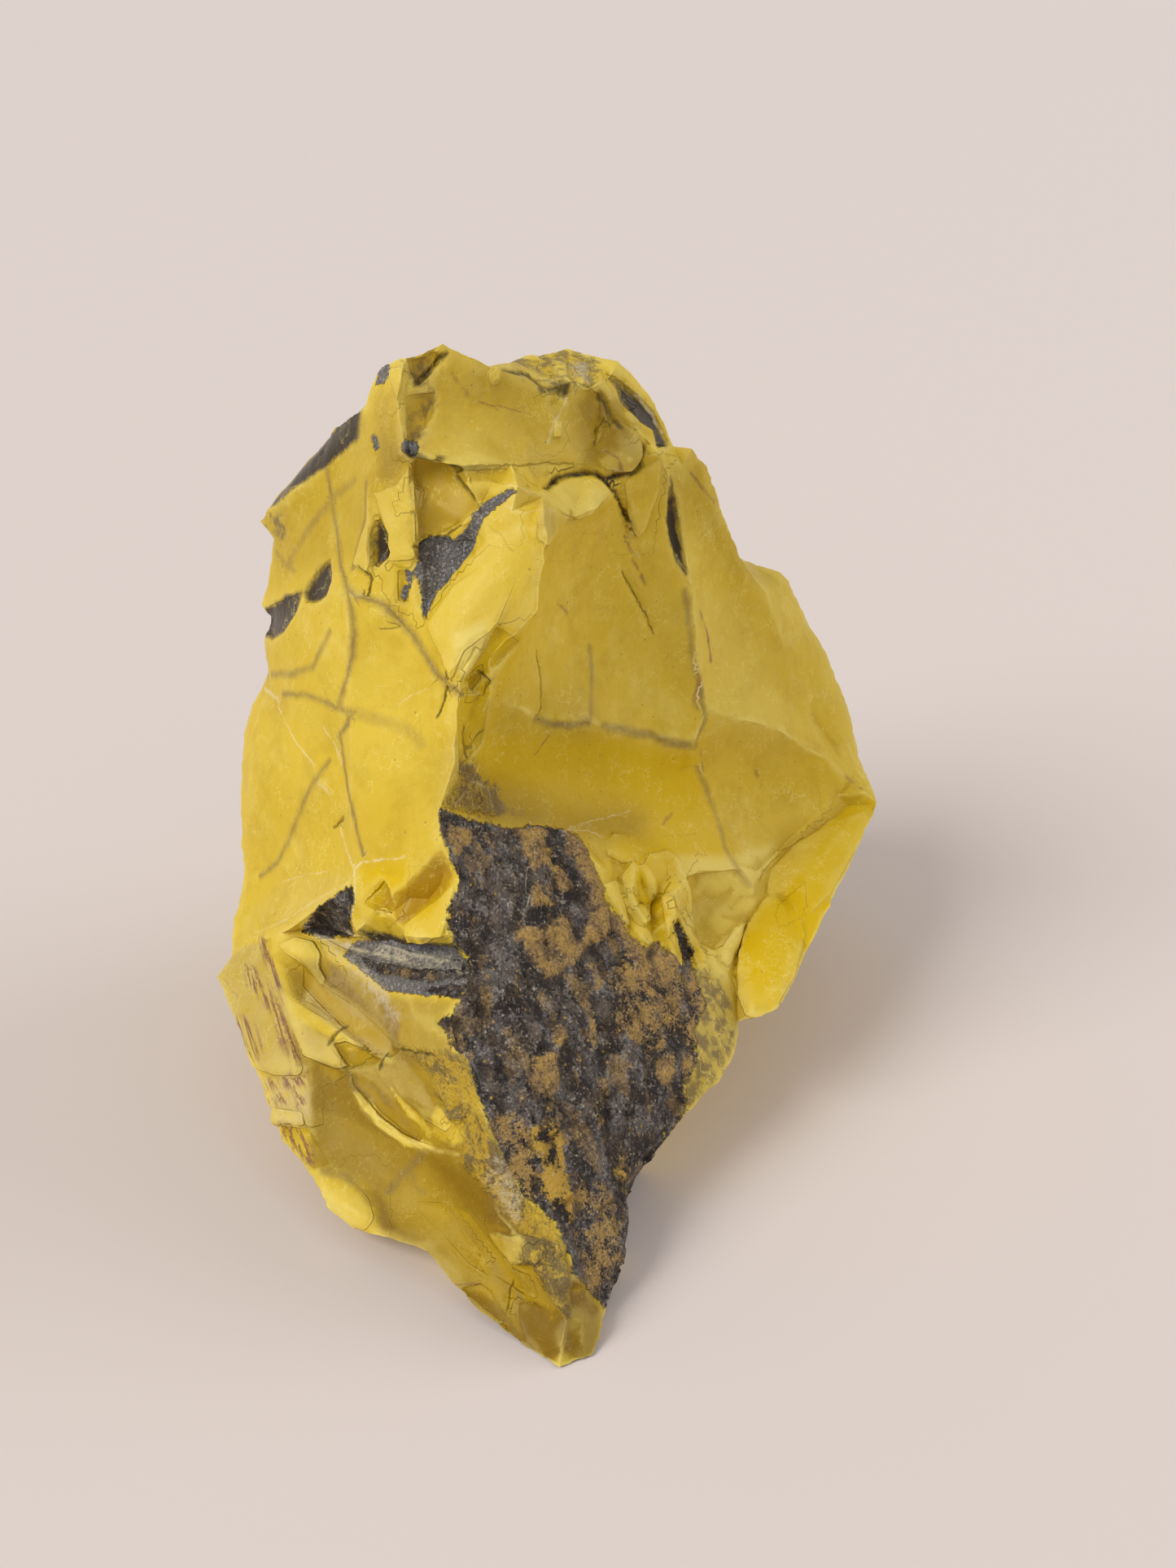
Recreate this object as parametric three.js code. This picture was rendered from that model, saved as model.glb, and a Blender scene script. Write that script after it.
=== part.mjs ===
// Rough mookaite: one broken lump of yellow, chert-like stone with a dark weathered rind.
//
// The lump is a closed net of fracture faces. Corners are named points on its ridges, in
// millimetres from the toe (+X right, +Y back, +Z up). A face is a loop of corners, listed
// counter-clockwise seen from outside, that is either hollow like a struck flake scar or
// swollen like the lump a flake leaves behind. Neighbours share their ridge points, so the
// faces close into one solid.

import * as THREE from 'three';

// Driving sizes, in millimetres.
const RIDGE_STEP = 2.0; // spacing of points along a ridge
const FACE_STEP = 2.0; // spacing of points inside a face
const RIDGE_WOBBLE = 0.28; // how far a ridge wanders off its straight line
const FACE_WOBBLE = 0.12; // how far the middle of a face undulates
const WOBBLE_LENGTH = 9; // distance over which that wander repeats
const EDGE_CLEARANCE = 0.6; // gap between a face's inner points and its ridge, in steps
const GRID_JITTER = 0.3; // scatter of a face's inner points, in steps

// How faces are meshed and smoothed.
const SLOW_WAVE = new THREE.Vector3(2.1, 1.3, -1.7); // wander per wobble length, slow part
const QUICK_WAVE = new THREE.Vector3(-3.7, 4.9, 5.3); // and its quick part
const SLOW_SHARE = 0.6; // share of the wander the slow part makes
const SWAP_PASSES = 60; // most rounds of diagonal swaps in one go
const POINTS_PER_SWAP = 12; // inner points added between those rounds
const LEAST_PULL = 0.02; // weakest pull between two neighbours of a face
const RELAX_PASSES = 400; // smoothing passes that stretch a face between its ridges

const STONE_COLOUR = 0xc9a81c;
const STONE_ROUGHNESS = 0.5;

// Corners of the net.
const CORNERS = {
  // crown
  knob: [-21.5, 54, 83.5],
  knobFoot: [-23, 53.5, 79.5],
  crestLeft: [-18.25, 49.5, 85.75],
  peak: [-14.5, 50, 87],
  crestDip: [-9.5, 51.5, 84],
  crestMid: [-4.25, 54.5, 81.25],
  crestRight: [0.5, 59, 80.25],
  rimLeft: [-8.25, 62, 82],
  rimBack: [-2.25, 68.5, 82],
  rimRight: [3.25, 67, 81],
  smokyTop: [2.25, 63, 80.25],
  smokyLow: [5.25, 61, 75.25],
  smokyFoot: [7.75, 60, 72.75],
  smokyEdge: [7, 66.5, 77],
  smokyHeel: [9.5, 65, 72],
  columnHigh: [-19, 47.5, 82],
  ledgeLeft: [-18.25, 45, 77.25],
  ledgeFront: [-15.5, 43.5, 76.75],
  ledgeCentre: [-12.75, 44, 76.25],
  ledgeInner: [-7.75, 47, 75.5],
  ledgeRight: [-1.5, 53, 73.75],
  ledgeEnd: [5.5, 58.5, 72.5],
  chip: [-3.25, 53.5, 77.25],
  // panel under the crown ledge
  panelLeft: [-17.75, 46, 75.25],
  panelTop: [-15.5, 46.5, 75.25],
  panelRight: [-11, 43.5, 72],
  panelFoot: [-14.5, 45.5, 68.75],
  columnFoot: [-17.25, 44.5, 68],
  // bulge
  bulgeCrest: [-7, 42.5, 74.5],
  bulgeShoulder: [-4.5, 40.5, 72.75],
  bulgeRight: [-4.25, 39.5, 67.75],
  bulgeBelly: [-5, 38.5, 63],
  bulgeHeel: [-9.5, 37.5, 58],
  bulgeSpur: [-8.5, 38, 62.75],
  pitRight: [-12, 45, 67.75],
  pitLow: [-14.5, 43, 64.5],
  prowTop: [-16.5, 41, 60.75],
  prowHigh: [-15.75, 39.5, 58.5],
  prowNotch: [-13, 36.5, 56.25],
  prowBrow: [-12.75, 35.5, 55],
  prowMid: [-13.25, 34.5, 51.75],
  prowLow: [-13.5, 34, 48.25],
  stripMid: [-9.75, 38, 54],
  stripLow: [-12.25, 36, 47],
  // scoop flake and crack
  scoopLeft: [-4.25, 48.5, 72.5],
  scoopTop: [-0.25, 53.5, 72.25],
  scoopRight: [2.5, 54.5, 69.5],
  scoopLow: [-2, 48.5, 69.25],
  crackBend: [3.75, 57, 71.25],
  // big scar
  lensTop: [9.25, 62, 69],
  lensLow: [11.5, 62.5, 57.25],
  spurMid: [12.5, 62.5, 48.75],
  stepLeft: [14, 62.5, 41.5],
  stepMid: [22.5, 70.5, 35.25],
  stepRight: [29.75, 76, 28.75],
  healLeft: [-5.25, 45.5, 48],
  healRight: [0.25, 50, 45.5],
  veinMid: [7.25, 57, 40.5],
  veinRight: [12.25, 60, 38.25],
  shoulderTop: [11.5, 65, 71.75],
  shoulderHigh: [13.25, 67, 69.25],
  shoulderMid: [15, 68.5, 63.75],
  shoulderLow: [17.75, 70.5, 57],
  lobeHigh: [21.5, 74, 51],
  lobeMid: [24, 76, 43],
  lobeLow: [27, 78, 35.25],
  lobeFoot: [31.25, 80, 28.25],
  tipInner: [33.25, 77, 24.75],
  tip: [36.25, 74, 23.5],
  // lobe silhouette
  lobeBump: [19.75, 81, 52.75],
  lobeTop: [23.75, 83, 50.75],
  lobeBrow: [25.5, 84, 47.75],
  lobeSide: [30.25, 86, 39],
  lobeSideLow: [33.5, 86, 31.5],
  lobeHeel: [35.25, 84, 24.5],
  // foot of the big scar
  rindTop: [-15, 33, 43.75],
  scarFoot1: [-11.25, 36.5, 40.75],
  scarNook: [-10, 39.5, 43.25],
  scarFoot2: [-7, 38.5, 38.5],
  scarFoot3: [-2, 42, 36.5],
  scarFoot4: [1.25, 45.5, 34],
  foldTip1: [3.25, 43.5, 30],
  foldTip2: [6, 46, 29.75],
  foldTip3: [8.25, 50.25, 29.25],
  foldTip4: [12.75, 53.5, 25],
  foldTip5: [17, 57, 23.25],
  flangeRoot: [21, 60, 21],
  // folds
  foldFoot1: [1.25, 40.5, 32.75],
  foldFoot2: [4.25, 37, 26.25],
  foldFoot3: [6.75, 38, 24],
  foldFoot4: [10, 38.75, 21.25],
  foldFoot5: [12.5, 40, 19.5],
  foldCrest3: [9, 43.25, 26.75],
  foldValley: [7, 44.5, 25.5],
  leafTop: [18.25, 53, 18.75],
  leafLow: [15.25, 46, 19.5],
  flangeFoot: [16.5, 43.5, 17.5],
  // flange
  flangeHigh: [25, 65.5, 21.75],
  flangeTop: [28.25, 69.5, 22],
  flangeEnd: [32.75, 74.5, 22.75],
  flangeEdge1: [33, 66, 21.5],
  flangeEdge2: [28.5, 54.5, 19.75],
  flangeEdge3: [25, 47.5, 17.75],
  flangeEdge4: [21.75, 40, 15.75],
  flangeTip: [18.25, 38.5, 14.75],
  flangeMid: [22.75, 56.5, 19.25],
  flangeNose: [16.75, 39, 13.75],
  // rind right / bottom edge
  rindRight: [16.25, 35.5, 12.25],
  rindEdge1: [14.25, 31, 11.25],
  rindEdge2: [11, 27.5, 10],
  rindEdge3: [8.5, 23.5, 9.5],
  rindEdge4: [4.25, 18.5, 9.75],
  rindEdge5: [3.5, 16.5, 9],
  rindEdge6: [4.25, 14.5, 6.5],
  rindEdge7: [3.25, 9.75, 3.25],
  rindEdge8: [1.75, 6, 1.5],
  // rind left boundary
  rindBrow: [-14.75, 30.5, 40.75],
  rindNotch: [-13, 28.5, 38],
  rindLip: [-14, 26, 32.75],
  slotRight: [-12, 25.5, 30.25],
  rindLeft1: [-11.75, 20.5, 28.5],
  rindLeft2: [-14, 20.25, 26],
  rindLeft3: [-13, 17.75, 23.75],
  rindLeft4: [-11, 14.5, 21.25],
  rindLeft5: [-8.75, 10.75, 15.75],
  rindLeft6: [-4.75, 12.5, 14.25],
  rindLeft7: [-2.5, 9.5, 10.25],
  rindLeft8: [-1.25, 5, 6.5],
  rindInner1: [-9, 24, 29],
  rindInner2: [-6.25, 16.25, 20.5],
  // left face right side
  tongueRoot: [-18, 31, 36.75],
  tongueSide: [-20.25, 32, 34],
  tongueFoot: [-20.75, 32, 31.5],
  tongueTip: [-24.75, 35.5, 27.5],
  tongueNick: [-22.75, 34, 30.75],
  recessMid: [-21.25, 33.5, 34.75],
  // left face
  stepCentre: [-25.25, 46, 62],
  stepRightA: [-18.5, 43, 61.5],
  leftTopA: [-24.75, 55, 74.75],
  leftTopB: [-28, 58, 71.75],
  leftTopC: [-33.5, 63, 67],
  leftTopD: [-36.25, 67, 64],
  leftBackA: [-27.25, 61, 75.25],
  leftBackB: [-31.25, 66, 70],
  leftBackC: [-35.75, 70, 64.5],
  leftNub: [-37.5, 69, 62],
  leftSideA: [-35.75, 67, 60.5],
  leftSideB: [-36.75, 67, 55.75],
  leftSideC: [-37.75, 67, 52.75],
  spotNotch: [-36.5, 64.5, 51.75],
  spotCentre: [-31.25, 56, 58.25],
  leftSideD: [-37.5, 65.5, 48.5],
  leftSideE: [-37, 64, 45.5],
  leftSideF: [-38, 64, 43.25],
  leftSideG: [-40, 64, 39.25],
  leftSideH: [-40.75, 62.5, 34.25],
  leftSideI: [-41, 59, 25.25],
  leftSideJ: [-40.5, 57, 22.5],
  leftSideK: [-41.25, 52.5, 19],
  wingTop: [-33.75, 54, 44.25],
  wingMid: [-28.5, 44.5, 40.5],
  wingLow: [-34, 50, 29.5],
  faceCentre: [-25, 43, 49.5],
  faceLow: [-24.75, 37.5, 34],
  // lip of the left face
  lipLeft: [-41, 48, 16.75],
  lipA: [-39.25, 48, 18.75],
  lipB: [-37, 46, 20.5],
  lipC: [-34.25, 43.5, 22.5],
  lipD: [-31.25, 41, 25.75],
  lipE: [-28, 38.5, 29.75],
  lipF: [-25, 36.5, 32.75],
  underLeft: [-32, 43.5, 23],
  underRight: [-25.5, 40, 24.5],
  slotMid: [-19.75, 33.5, 27.5],
  amberFoot: [-18.75, 29.5, 30.75],
  stripEdgeA: [-29.5, 41, 22.75],
  stripEdgeB: [-25.5, 36, 23],
  stripEdgeC: [-18.75, 26.5, 25.75],
  // lower left face
  cornerLeft: [-42.5, 46.5, 15],
  cornerA: [-40, 41, 13.5],
  cornerB: [-37.25, 35.5, 11.25],
  cornerC: [-34.5, 29.75, 7.75],
  cornerD: [-33, 27.5, 6],
  cornerE: [-30.25, 24.5, 5],
  cornerF: [-27.25, 19.75, 3.25],
  cornerG: [-23.75, 16.75, 2.5],
  cornerH: [-20.5, 14.5, 3.5],
  cornerI: [-16.25, 12, 3.75],
  cornerJ: [-14.25, 9.75, 2.75],
  cornerK: [-10.75, 6, 1.25],
  cornerL: [-7, 3, 0.25],
  toe: [-2.75, -0.75, 0.25],
  toeRight: [0.5, 1, 0.25],
  toeHeel: [1.5, 4, 2],
  ridgeTop: [-36, 45, 20.5],
  ridgeMid: [-33, 36.25, 17.25],
  ridgeLow: [-30.25, 30.25, 13.75],
  ridgeFoot: [-29.75, 25, 6.5],
  creaseMid: [-23.5, 19.75, 5.75],
  creaseLow: [-20.25, 15.75, 4.5],
  dishTop: [-25.25, 28.75, 15.25],
  dishLeft: [-24.75, 27.25, 13],
  dishLow: [-22.25, 24, 11.75],
  dishFront: [-18.75, 20.25, 11.5],
  dishRight: [-16, 17.5, 12.5],
  hingeLeft: [-20, 25.25, 19.5],
  hingeRight: [-16.25, 21.25, 21.5],
  toeBack: [-5.25, 6.25, 8.25],
  toeRidge: [-2, 2, 4.25],
  sandEdge: [-10, 11.25, 10.5],
  bandMid: [-27.75, 30.25, 15],
  rindMid: [6.75, 28, 17.5],
  columnSide: [-22.5, 49, 72.25],
  stepNick: [-22.75, 44.5, 62],
  amberRidge: [-16, 29.5, 33],
  // unseen back
  backCrownLeft: [-15, 65, 80],
  backCrownRight: [2, 72.5, 76],
  backHighLeft: [-18.5, 73.5, 73],
  backHighMid: [-7, 78.5, 71.5],
  backHighRight: [4, 79.5, 66.5],
  backRightJog: [10, 83, 59.5],
  backRightHigh: [12.5, 86, 51.5],
  backLeftJog: [-26.5, 77.5, 67],
  backLeftTop: [-32, 78.5, 59.5],
  backBrowLeft: [-21.5, 86.5, 58],
  backSpine: [-7, 91, 59],
  backBrowRight: [4, 90.5, 55.5],
  backMidTop: [-4, 95.5, 48],
  backMid: [3, 98.5, 36.5],
  backMidFoot: [-1.5, 97, 21.5],
  backLow: [3.5, 93, 8.5],
  backStripTop: [-27.5, 87.5, 46],
  backMidLeft: [-26.5, 90, 33],
  backLowLeft: [-20, 88, 11],
  backRidgeRight: [11.5, 97, 37],
  backMidRight: [19, 94, 29],
  backRightFoot: [25.5, 90, 19.5],
  backLowRight: [15, 90.5, 9.5],
  backRightLow: [27, 86, 11],
  sideBackHigh: [-37, 78.5, 48],
  sideBackMid: [-36.5, 80.5, 34],
  sideStep: [-40, 71, 37],
  sideBackFoot: [-37.5, 77, 22],
  sideBackLow: [-34.5, 74, 11],
  // undercut right side
  keelBack: [24, 77, 9],
  keelMid: [19, 60, 9],
  keelFront: [13.5, 42, 8],
  // resting face
  baseToe: [-2.5, 4, 0],
  baseFrontLeft: [-13, 14, 0],
  baseLeft: [-22, 27, 0],
  baseLeftMid: [-29, 44, 0],
  baseBackLeft: [-25, 66, 0],
  baseBack: [-12, 81, 0],
  baseBackRight: [6, 84, 0],
  baseRightBack: [17, 72, 0],
  baseRight: [11, 50, 0],
  baseRightMid: [5, 28, 0],
  baseFrontRight: [1, 12, 0],
};

// Faces of the net: how far the middle stands out (+) or in (-), and the corners round it.
const FACES = {
  // crown
  crownFront: [-1.2, `crestLeft columnHigh ledgeLeft ledgeFront ledgeCentre ledgeInner
    ledgeRight chip crestMid crestDip peak`],
  crownRight: [-0.6, 'crestMid chip ledgeRight ledgeEnd smokyLow smokyTop crestRight'],
  yellowFlake: [0.2, 'smokyLow ledgeEnd smokyFoot'],
  smokyWindow: [-0.6, 'rimRight smokyTop smokyLow smokyFoot smokyHeel smokyEdge'],
  crownTop: [-0.8, 'crestDip crestMid crestRight smokyTop rimRight rimBack rimLeft'],
  crownBackTop: [-0.8, 'crestLeft peak crestDip rimLeft backCrownLeft knob'],
  crownOverhang: [0, 'ledgeLeft panelLeft panelTop ledgeCentre ledgeFront'],
  crownPanel: [-0.3, 'panelLeft columnFoot panelFoot panelRight ledgeCentre panelTop'],
  shelfLeft: [-0.5, 'ledgeCentre panelRight bulgeCrest ledgeInner'],
  shelfRight: [-0.4, 'ledgeInner bulgeCrest scoopLeft scoopTop crackBend ledgeEnd ledgeRight'],
  // bulge under the crown
  bulgeFace: [1.4, `bulgeCrest panelRight panelFoot pitRight pitLow prowTop prowHigh
    prowNotch bulgeSpur bulgeRight bulgeShoulder scoopLeft`],
  bulgeFlank: [-0.6, 'bulgeSpur prowNotch bulgeHeel bulgeBelly bulgeRight'],
  pit: [-0.8, 'columnFoot prowTop pitLow pitRight panelFoot'],
  scoop: [-0.6, 'scoopTop scoopLeft bulgeShoulder scoopLow scoopRight'],
  strip: [-0.3, 'prowNotch prowBrow prowMid prowLow stripLow stripMid bulgeHeel'],
  nook: [-0.4, 'prowLow rindTop scarFoot1 scarNook stripLow'],
  // left face
  column: [0.4, `crestLeft knob knobFoot columnSide stepNick stepRightA prowTop columnFoot
    panelLeft ledgeLeft columnHigh`],
  leftUpper: [-0.8, `knobFoot leftTopA leftTopB leftTopC leftTopD leftNub leftSideA
    leftSideB leftSideC spotCentre stepCentre stepNick columnSide`],
  leftShoulder: [0.2, `knobFoot leftBackA leftBackB leftBackC leftTopD leftTopC leftTopB
    leftTopA`],
  leftMiddle: [0.7, `leftSideC spotNotch leftSideD leftSideE leftSideF wingTop faceCentre
    stepCentre spotCentre`],
  leftProw: [-0.8, `stepCentre faceCentre prowMid prowBrow prowNotch prowHigh prowTop
    stepRightA stepNick`],
  leftWing: [1.2, 'leftSideF leftSideG leftSideH leftSideI leftSideJ wingLow wingMid wingTop'],
  leftCentre: [-0.7, 'wingTop wingMid wingLow faceLow faceCentre'],
  leftRight: [0.8, 'faceCentre faceLow tongueRoot rindBrow rindTop prowLow prowMid'],
  lip: [-1.0, 'leftSideJ leftSideK lipLeft lipA lipB lipC lipD lipE lipF faceLow wingLow'],
  tongue: [0.2, 'faceLow lipF tongueTip tongueNick recessMid tongueFoot tongueSide tongueRoot'],
  tongueRecess: [-0.7, 'recessMid tongueNick tongueFoot'],
  underLip: [-0.6, 'lipC underLeft underRight tongueTip lipF lipE lipD'],
  underTongue: [-0.4, 'tongueTip underRight slotMid amberFoot tongueFoot tongueNick'],
  amberHollow: [-1.8, `tongueRoot tongueSide tongueFoot amberFoot amberRidge rindNotch
    rindBrow`],
  amberTriangle: [0, 'amberRidge amberFoot rindLip rindNotch'],
  slot: [-0.3, 'amberFoot slotMid slotRight rindLip'],
  greyStrip: [0.4, `underLeft stripEdgeA stripEdgeB stripEdgeC rindLeft1 slotRight
    slotMid underRight`],
  // lower left face
  streakStrip: [0.5, `cornerLeft cornerA cornerB cornerC cornerD cornerE ridgeFoot
    ridgeLow ridgeMid ridgeTop lipB lipA lipLeft`],
  bandFace: [-0.8, `lipB ridgeTop ridgeMid ridgeLow bandMid dishTop hingeLeft stripEdgeC stripEdgeB
    stripEdgeA underLeft lipC`],
  lowerScar: [-1.5, `ridgeLow ridgeFoot creaseMid creaseLow cornerI cornerJ
    cornerK cornerL toe toeRidge toeBack sandEdge dishRight dishFront dishLow dishLeft
    dishTop bandMid`],
  dish: [-1.2, `dishTop dishLeft dishLow dishFront dishRight rindLeft5 rindLeft4
    rindLeft3 hingeRight hingeLeft`],
  sandStrip: [0.5, `dishRight sandEdge toeBack rindLeft8 rindLeft7 rindLeft6
    rindLeft5`],
  shoulderPatch: [0.6, 'hingeLeft hingeRight rindLeft3 rindLeft2 rindLeft1 stripEdgeC'],
  footBump: [0.8, 'ridgeFoot cornerE cornerF cornerG cornerH cornerI creaseLow creaseMid'],
  toeFace: [0.6, 'toeRidge toe toeRight toeHeel rindEdge8 rindLeft8 toeBack'],
  // dark rind
  rindFaceTop: [0.6, `rindTop rindBrow rindNotch rindLip slotRight rindInner1
    foldFoot2 foldFoot1 scarFoot3 scarFoot2 scarFoot1`],
  rindFaceLeft: [-0.4, `slotRight rindLeft1 rindLeft2 rindLeft3 rindLeft4 rindLeft5
    rindLeft6 rindInner2 rindInner1`],
  rindFaceMiddle: [0.6, `rindInner1 rindInner2 rindLeft6 rindLeft7 rindLeft8
    rindEdge8 rindEdge7 rindEdge6 rindEdge5 rindEdge4 rindEdge3 rindMid
    foldFoot2`],
  rindFaceRight: [0.5, `foldFoot2 rindMid rindEdge3 rindEdge2 rindEdge1 rindRight
    flangeNose flangeFoot foldFoot5 foldFoot4 foldFoot3`],
  // folds beside the rind
  foldA: [-0.5, 'scarFoot3 foldFoot1 foldTip1 scarFoot4'],
  foldB: [-0.8, 'foldFoot1 foldFoot2 foldFoot3 foldTip1'],
  foldC: [-1.0, 'foldTip1 foldFoot3 foldValley foldTip2'],
  foldD: [-1.6, 'foldTip2 foldValley foldFoot3 foldFoot4 foldCrest3 foldTip4 foldTip3'],
  foldE: [-2.6, 'foldCrest3 foldFoot4 foldFoot5 leafLow leafTop flangeRoot foldTip5 foldTip4'],
  leaf: [0.4, 'leafLow foldFoot5 flangeFoot leafTop'],
  // thick flange on the right
  flangeUpper: [0.7, `flangeHigh flangeRoot leafTop flangeMid flangeEdge3 flangeEdge2
    flangeEdge1 tip flangeEnd flangeTop`],
  flangeLower: [0.8, `leafTop flangeFoot flangeNose flangeTip flangeEdge4 flangeEdge3
    flangeMid`],
  // big hollow scar
  bigScarLeft: [-4.0, `bulgeShoulder bulgeRight bulgeBelly bulgeHeel stripMid healLeft
    healRight veinMid veinRight stepLeft spurMid lensLow lensTop smokyFoot ledgeEnd
    crackBend scoopTop scoopRight scoopLow`],
  bigScarRight: [-1.4, `smokyFoot lensTop lensLow spurMid stepLeft stepMid stepRight
    tipInner lobeFoot lobeLow lobeMid lobeHigh shoulderLow shoulderMid shoulderHigh
    shoulderTop smokyHeel`],
  bigScarLow: [-3.4, `stripMid stripLow scarNook scarFoot1 scarFoot2 scarFoot3 scarFoot4
    foldTip1 foldTip2 foldTip3 foldTip4 foldTip5 flangeRoot flangeHigh flangeTop flangeEnd
    tip tipInner stepRight stepMid stepLeft veinRight veinMid healRight healLeft`],
  lobe: [0.8, `shoulderLow lobeHigh lobeMid lobeLow lobeFoot tipInner tip lobeHeel
    lobeSideLow lobeSide lobeBrow lobeTop lobeBump`],
  // back and sides
  backCrown: [-1.2, `backCrownLeft rimLeft rimBack backCrownRight backHighRight
    backHighMid backHighLeft`],
  backShoulder: [-1.6, `rimBack rimRight smokyEdge smokyHeel shoulderTop shoulderHigh
    shoulderMid shoulderLow lobeBump lobeTop backRightHigh backRightJog backHighRight
    backCrownRight`],
  backLeftShoulder: [-1.6, `knob backCrownLeft backHighLeft backLeftJog backLeftTop leftTopD
    leftBackC leftBackB leftBackA knobFoot`],
  backUpper: [-2.6, `backHighLeft backHighMid backHighRight backRightJog backRightHigh
    backBrowRight backSpine backBrowLeft backLeftTop backLeftJog`],
  backStripUpper: [0.9, `backLeftTop backBrowLeft backStripTop backMidLeft sideBackMid
    sideBackHigh`],
  backHollow: [-3.2, `backBrowLeft backSpine backMidTop backMid backMidFoot backLow
    backLowLeft backMidLeft backStripTop`],
  backMiddleRight: [-1.8, `backSpine backBrowRight backRightHigh lobeTop lobeBrow lobeSide
    backMidRight backRidgeRight backMid backMidTop`],
  backRight: [0.8, `lobeSide lobeSideLow lobeHeel backRightLow backRightFoot
    backMidRight`],
  backFootRight: [-1.4, `backMid backRidgeRight backMidRight backRightFoot backRightLow
    backLowRight backLow backMidFoot`],
  backStripLower: [-1.2, `sideBackMid backMidLeft backLowLeft sideBackLow sideBackFoot`],
  sideUpper: [-1.4, `leftNub leftTopD backLeftTop sideBackHigh sideBackMid sideStep leftSideH
    leftSideG leftSideF leftSideE leftSideD spotNotch leftSideC leftSideB leftSideA`],
  sideLower: [-1.6, `leftSideH sideStep sideBackMid sideBackFoot sideBackLow cornerLeft
    lipLeft leftSideK leftSideJ leftSideI`],
  // underside
  soleToe: [-0.3, 'toe cornerL cornerK cornerJ cornerI baseFrontLeft baseToe'],
  soleFrontLeft: [-0.4, 'cornerI cornerH cornerG cornerF cornerE baseLeft baseFrontLeft'],
  soleLeft: [-0.8, 'cornerE cornerD cornerC cornerB cornerA cornerLeft baseLeftMid baseLeft'],
  soleSide: [-0.8, 'cornerLeft sideBackLow baseBackLeft baseLeftMid'],
  soleToeRight: [-0.3, 'toe baseToe baseFrontRight rindEdge7 rindEdge8 toeHeel toeRight'],
  soleFrontRight: [-0.6, `rindEdge7 baseFrontRight baseRightMid rindEdge3 rindEdge4
    rindEdge5 rindEdge6`],
  soleRight: [-0.6, `rindEdge3 baseRightMid baseRight keelFront rindRight rindEdge1
    rindEdge2`],
  flangeUnder: [-0.6, `rindRight keelFront keelMid flangeEdge2 flangeEdge3 flangeEdge4
    flangeTip flangeNose`],
  lobeUnder: [0.3, 'flangeEdge2 keelMid keelBack backRightLow lobeHeel tip flangeEdge1'],
  keelUnder: [-0.6, 'keelFront baseRight baseRightBack keelBack keelMid'],
  soleBackRight: [0.4, 'keelBack baseRightBack baseBackRight backLowRight backRightLow'],
  soleBack: [-0.5, 'backLowRight baseBackRight baseBack backLowLeft backLow'],
  soleBackLeft: [-0.4, 'backLowLeft baseBack baseBackLeft sideBackLow'],
  restingFace: [0, `baseToe baseFrontLeft baseLeft baseLeftMid baseBackLeft baseBack
    baseBackRight baseRightBack baseRight baseRightMid baseFrontRight`],
};
const FLAT_FACES = new Set(['restingFace']);

/** Smooth wander in -1..1 at a point, different for each channel. */
function wander(point, channel) {
  const place = point.clone().divideScalar(WOBBLE_LENGTH);
  const slow = Math.sin(place.dot(SLOW_WAVE) + 2.4 * channel);
  const quick = Math.sin(place.dot(QUICK_WAVE) + 4.1 * channel);
  return SLOW_SHARE * slow + (1 - SLOW_SHARE) * quick;
}

/** Repeatable number in 0..1 for a whole number. */
function scatter(seed) {
  const value = Math.sin(seed * 12.9898 + 78.233) * 43758.5453;
  return value - Math.floor(value);
}

/** Point list that gives every distinct ridge point one number. */
class PointStore {
  constructor() {
    this.points = [];
    this.cornerNumbers = new Map();
    this.ridges = new Map();
  }

  /** Nothing reaches below the resting face. */
  add(point) {
    this.points.push(point.setZ(Math.max(0, point.z)));
    return this.points.length - 1;
  }

  corner(name) {
    if (!this.cornerNumbers.has(name)) {
      this.cornerNumbers.set(name, this.add(new THREE.Vector3(...CORNERS[name])));
    }
    return this.cornerNumbers.get(name);
  }

  /** Numbers of the points strictly between two corners, in order from the first. */
  between(from, to, level) {
    const key = [from, to].sort().join(' ');
    if (!this.ridges.has(key)) {
      const [first, last] = key.split(' ');
      this.ridges.set(key, this.layRidge(this.corner(first), this.corner(last), level));
    }
    const numbers = this.ridges.get(key);
    return key.startsWith(`${from} `) ? numbers : [...numbers].reverse();
  }

  layRidge(first, last, level) {
    const start = this.points[first];
    const end = this.points[last];
    const steps = Math.max(1, Math.round(start.distanceTo(end) / RIDGE_STEP));
    const numbers = [];
    for (let step = 1; step < steps; step += 1) {
      const along = step / steps;
      const point = start.clone().lerp(end, along);
      const room = RIDGE_WOBBLE * Math.min(1, 4 * along * (1 - along));
      const shift = [0, 1, 2].map((channel) => room * wander(point, channel));
      point.add(new THREE.Vector3(shift[0], shift[1], level ? 0 : shift[2]));
      numbers.push(this.add(point));
    }
    return numbers;
  }
}

/** Unit normal of a loop of points, by Newell's sum. */
function loopNormal(loop) {
  const normal = new THREE.Vector3();
  loop.forEach((here, index) => {
    const next = loop[(index + 1) % loop.length];
    normal.x += (here.y - next.y) * (here.z + next.z);
    normal.y += (here.z - next.z) * (here.x + next.x);
    normal.z += (here.x - next.x) * (here.y + next.y);
  });
  return normal.normalize();
}

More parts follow.
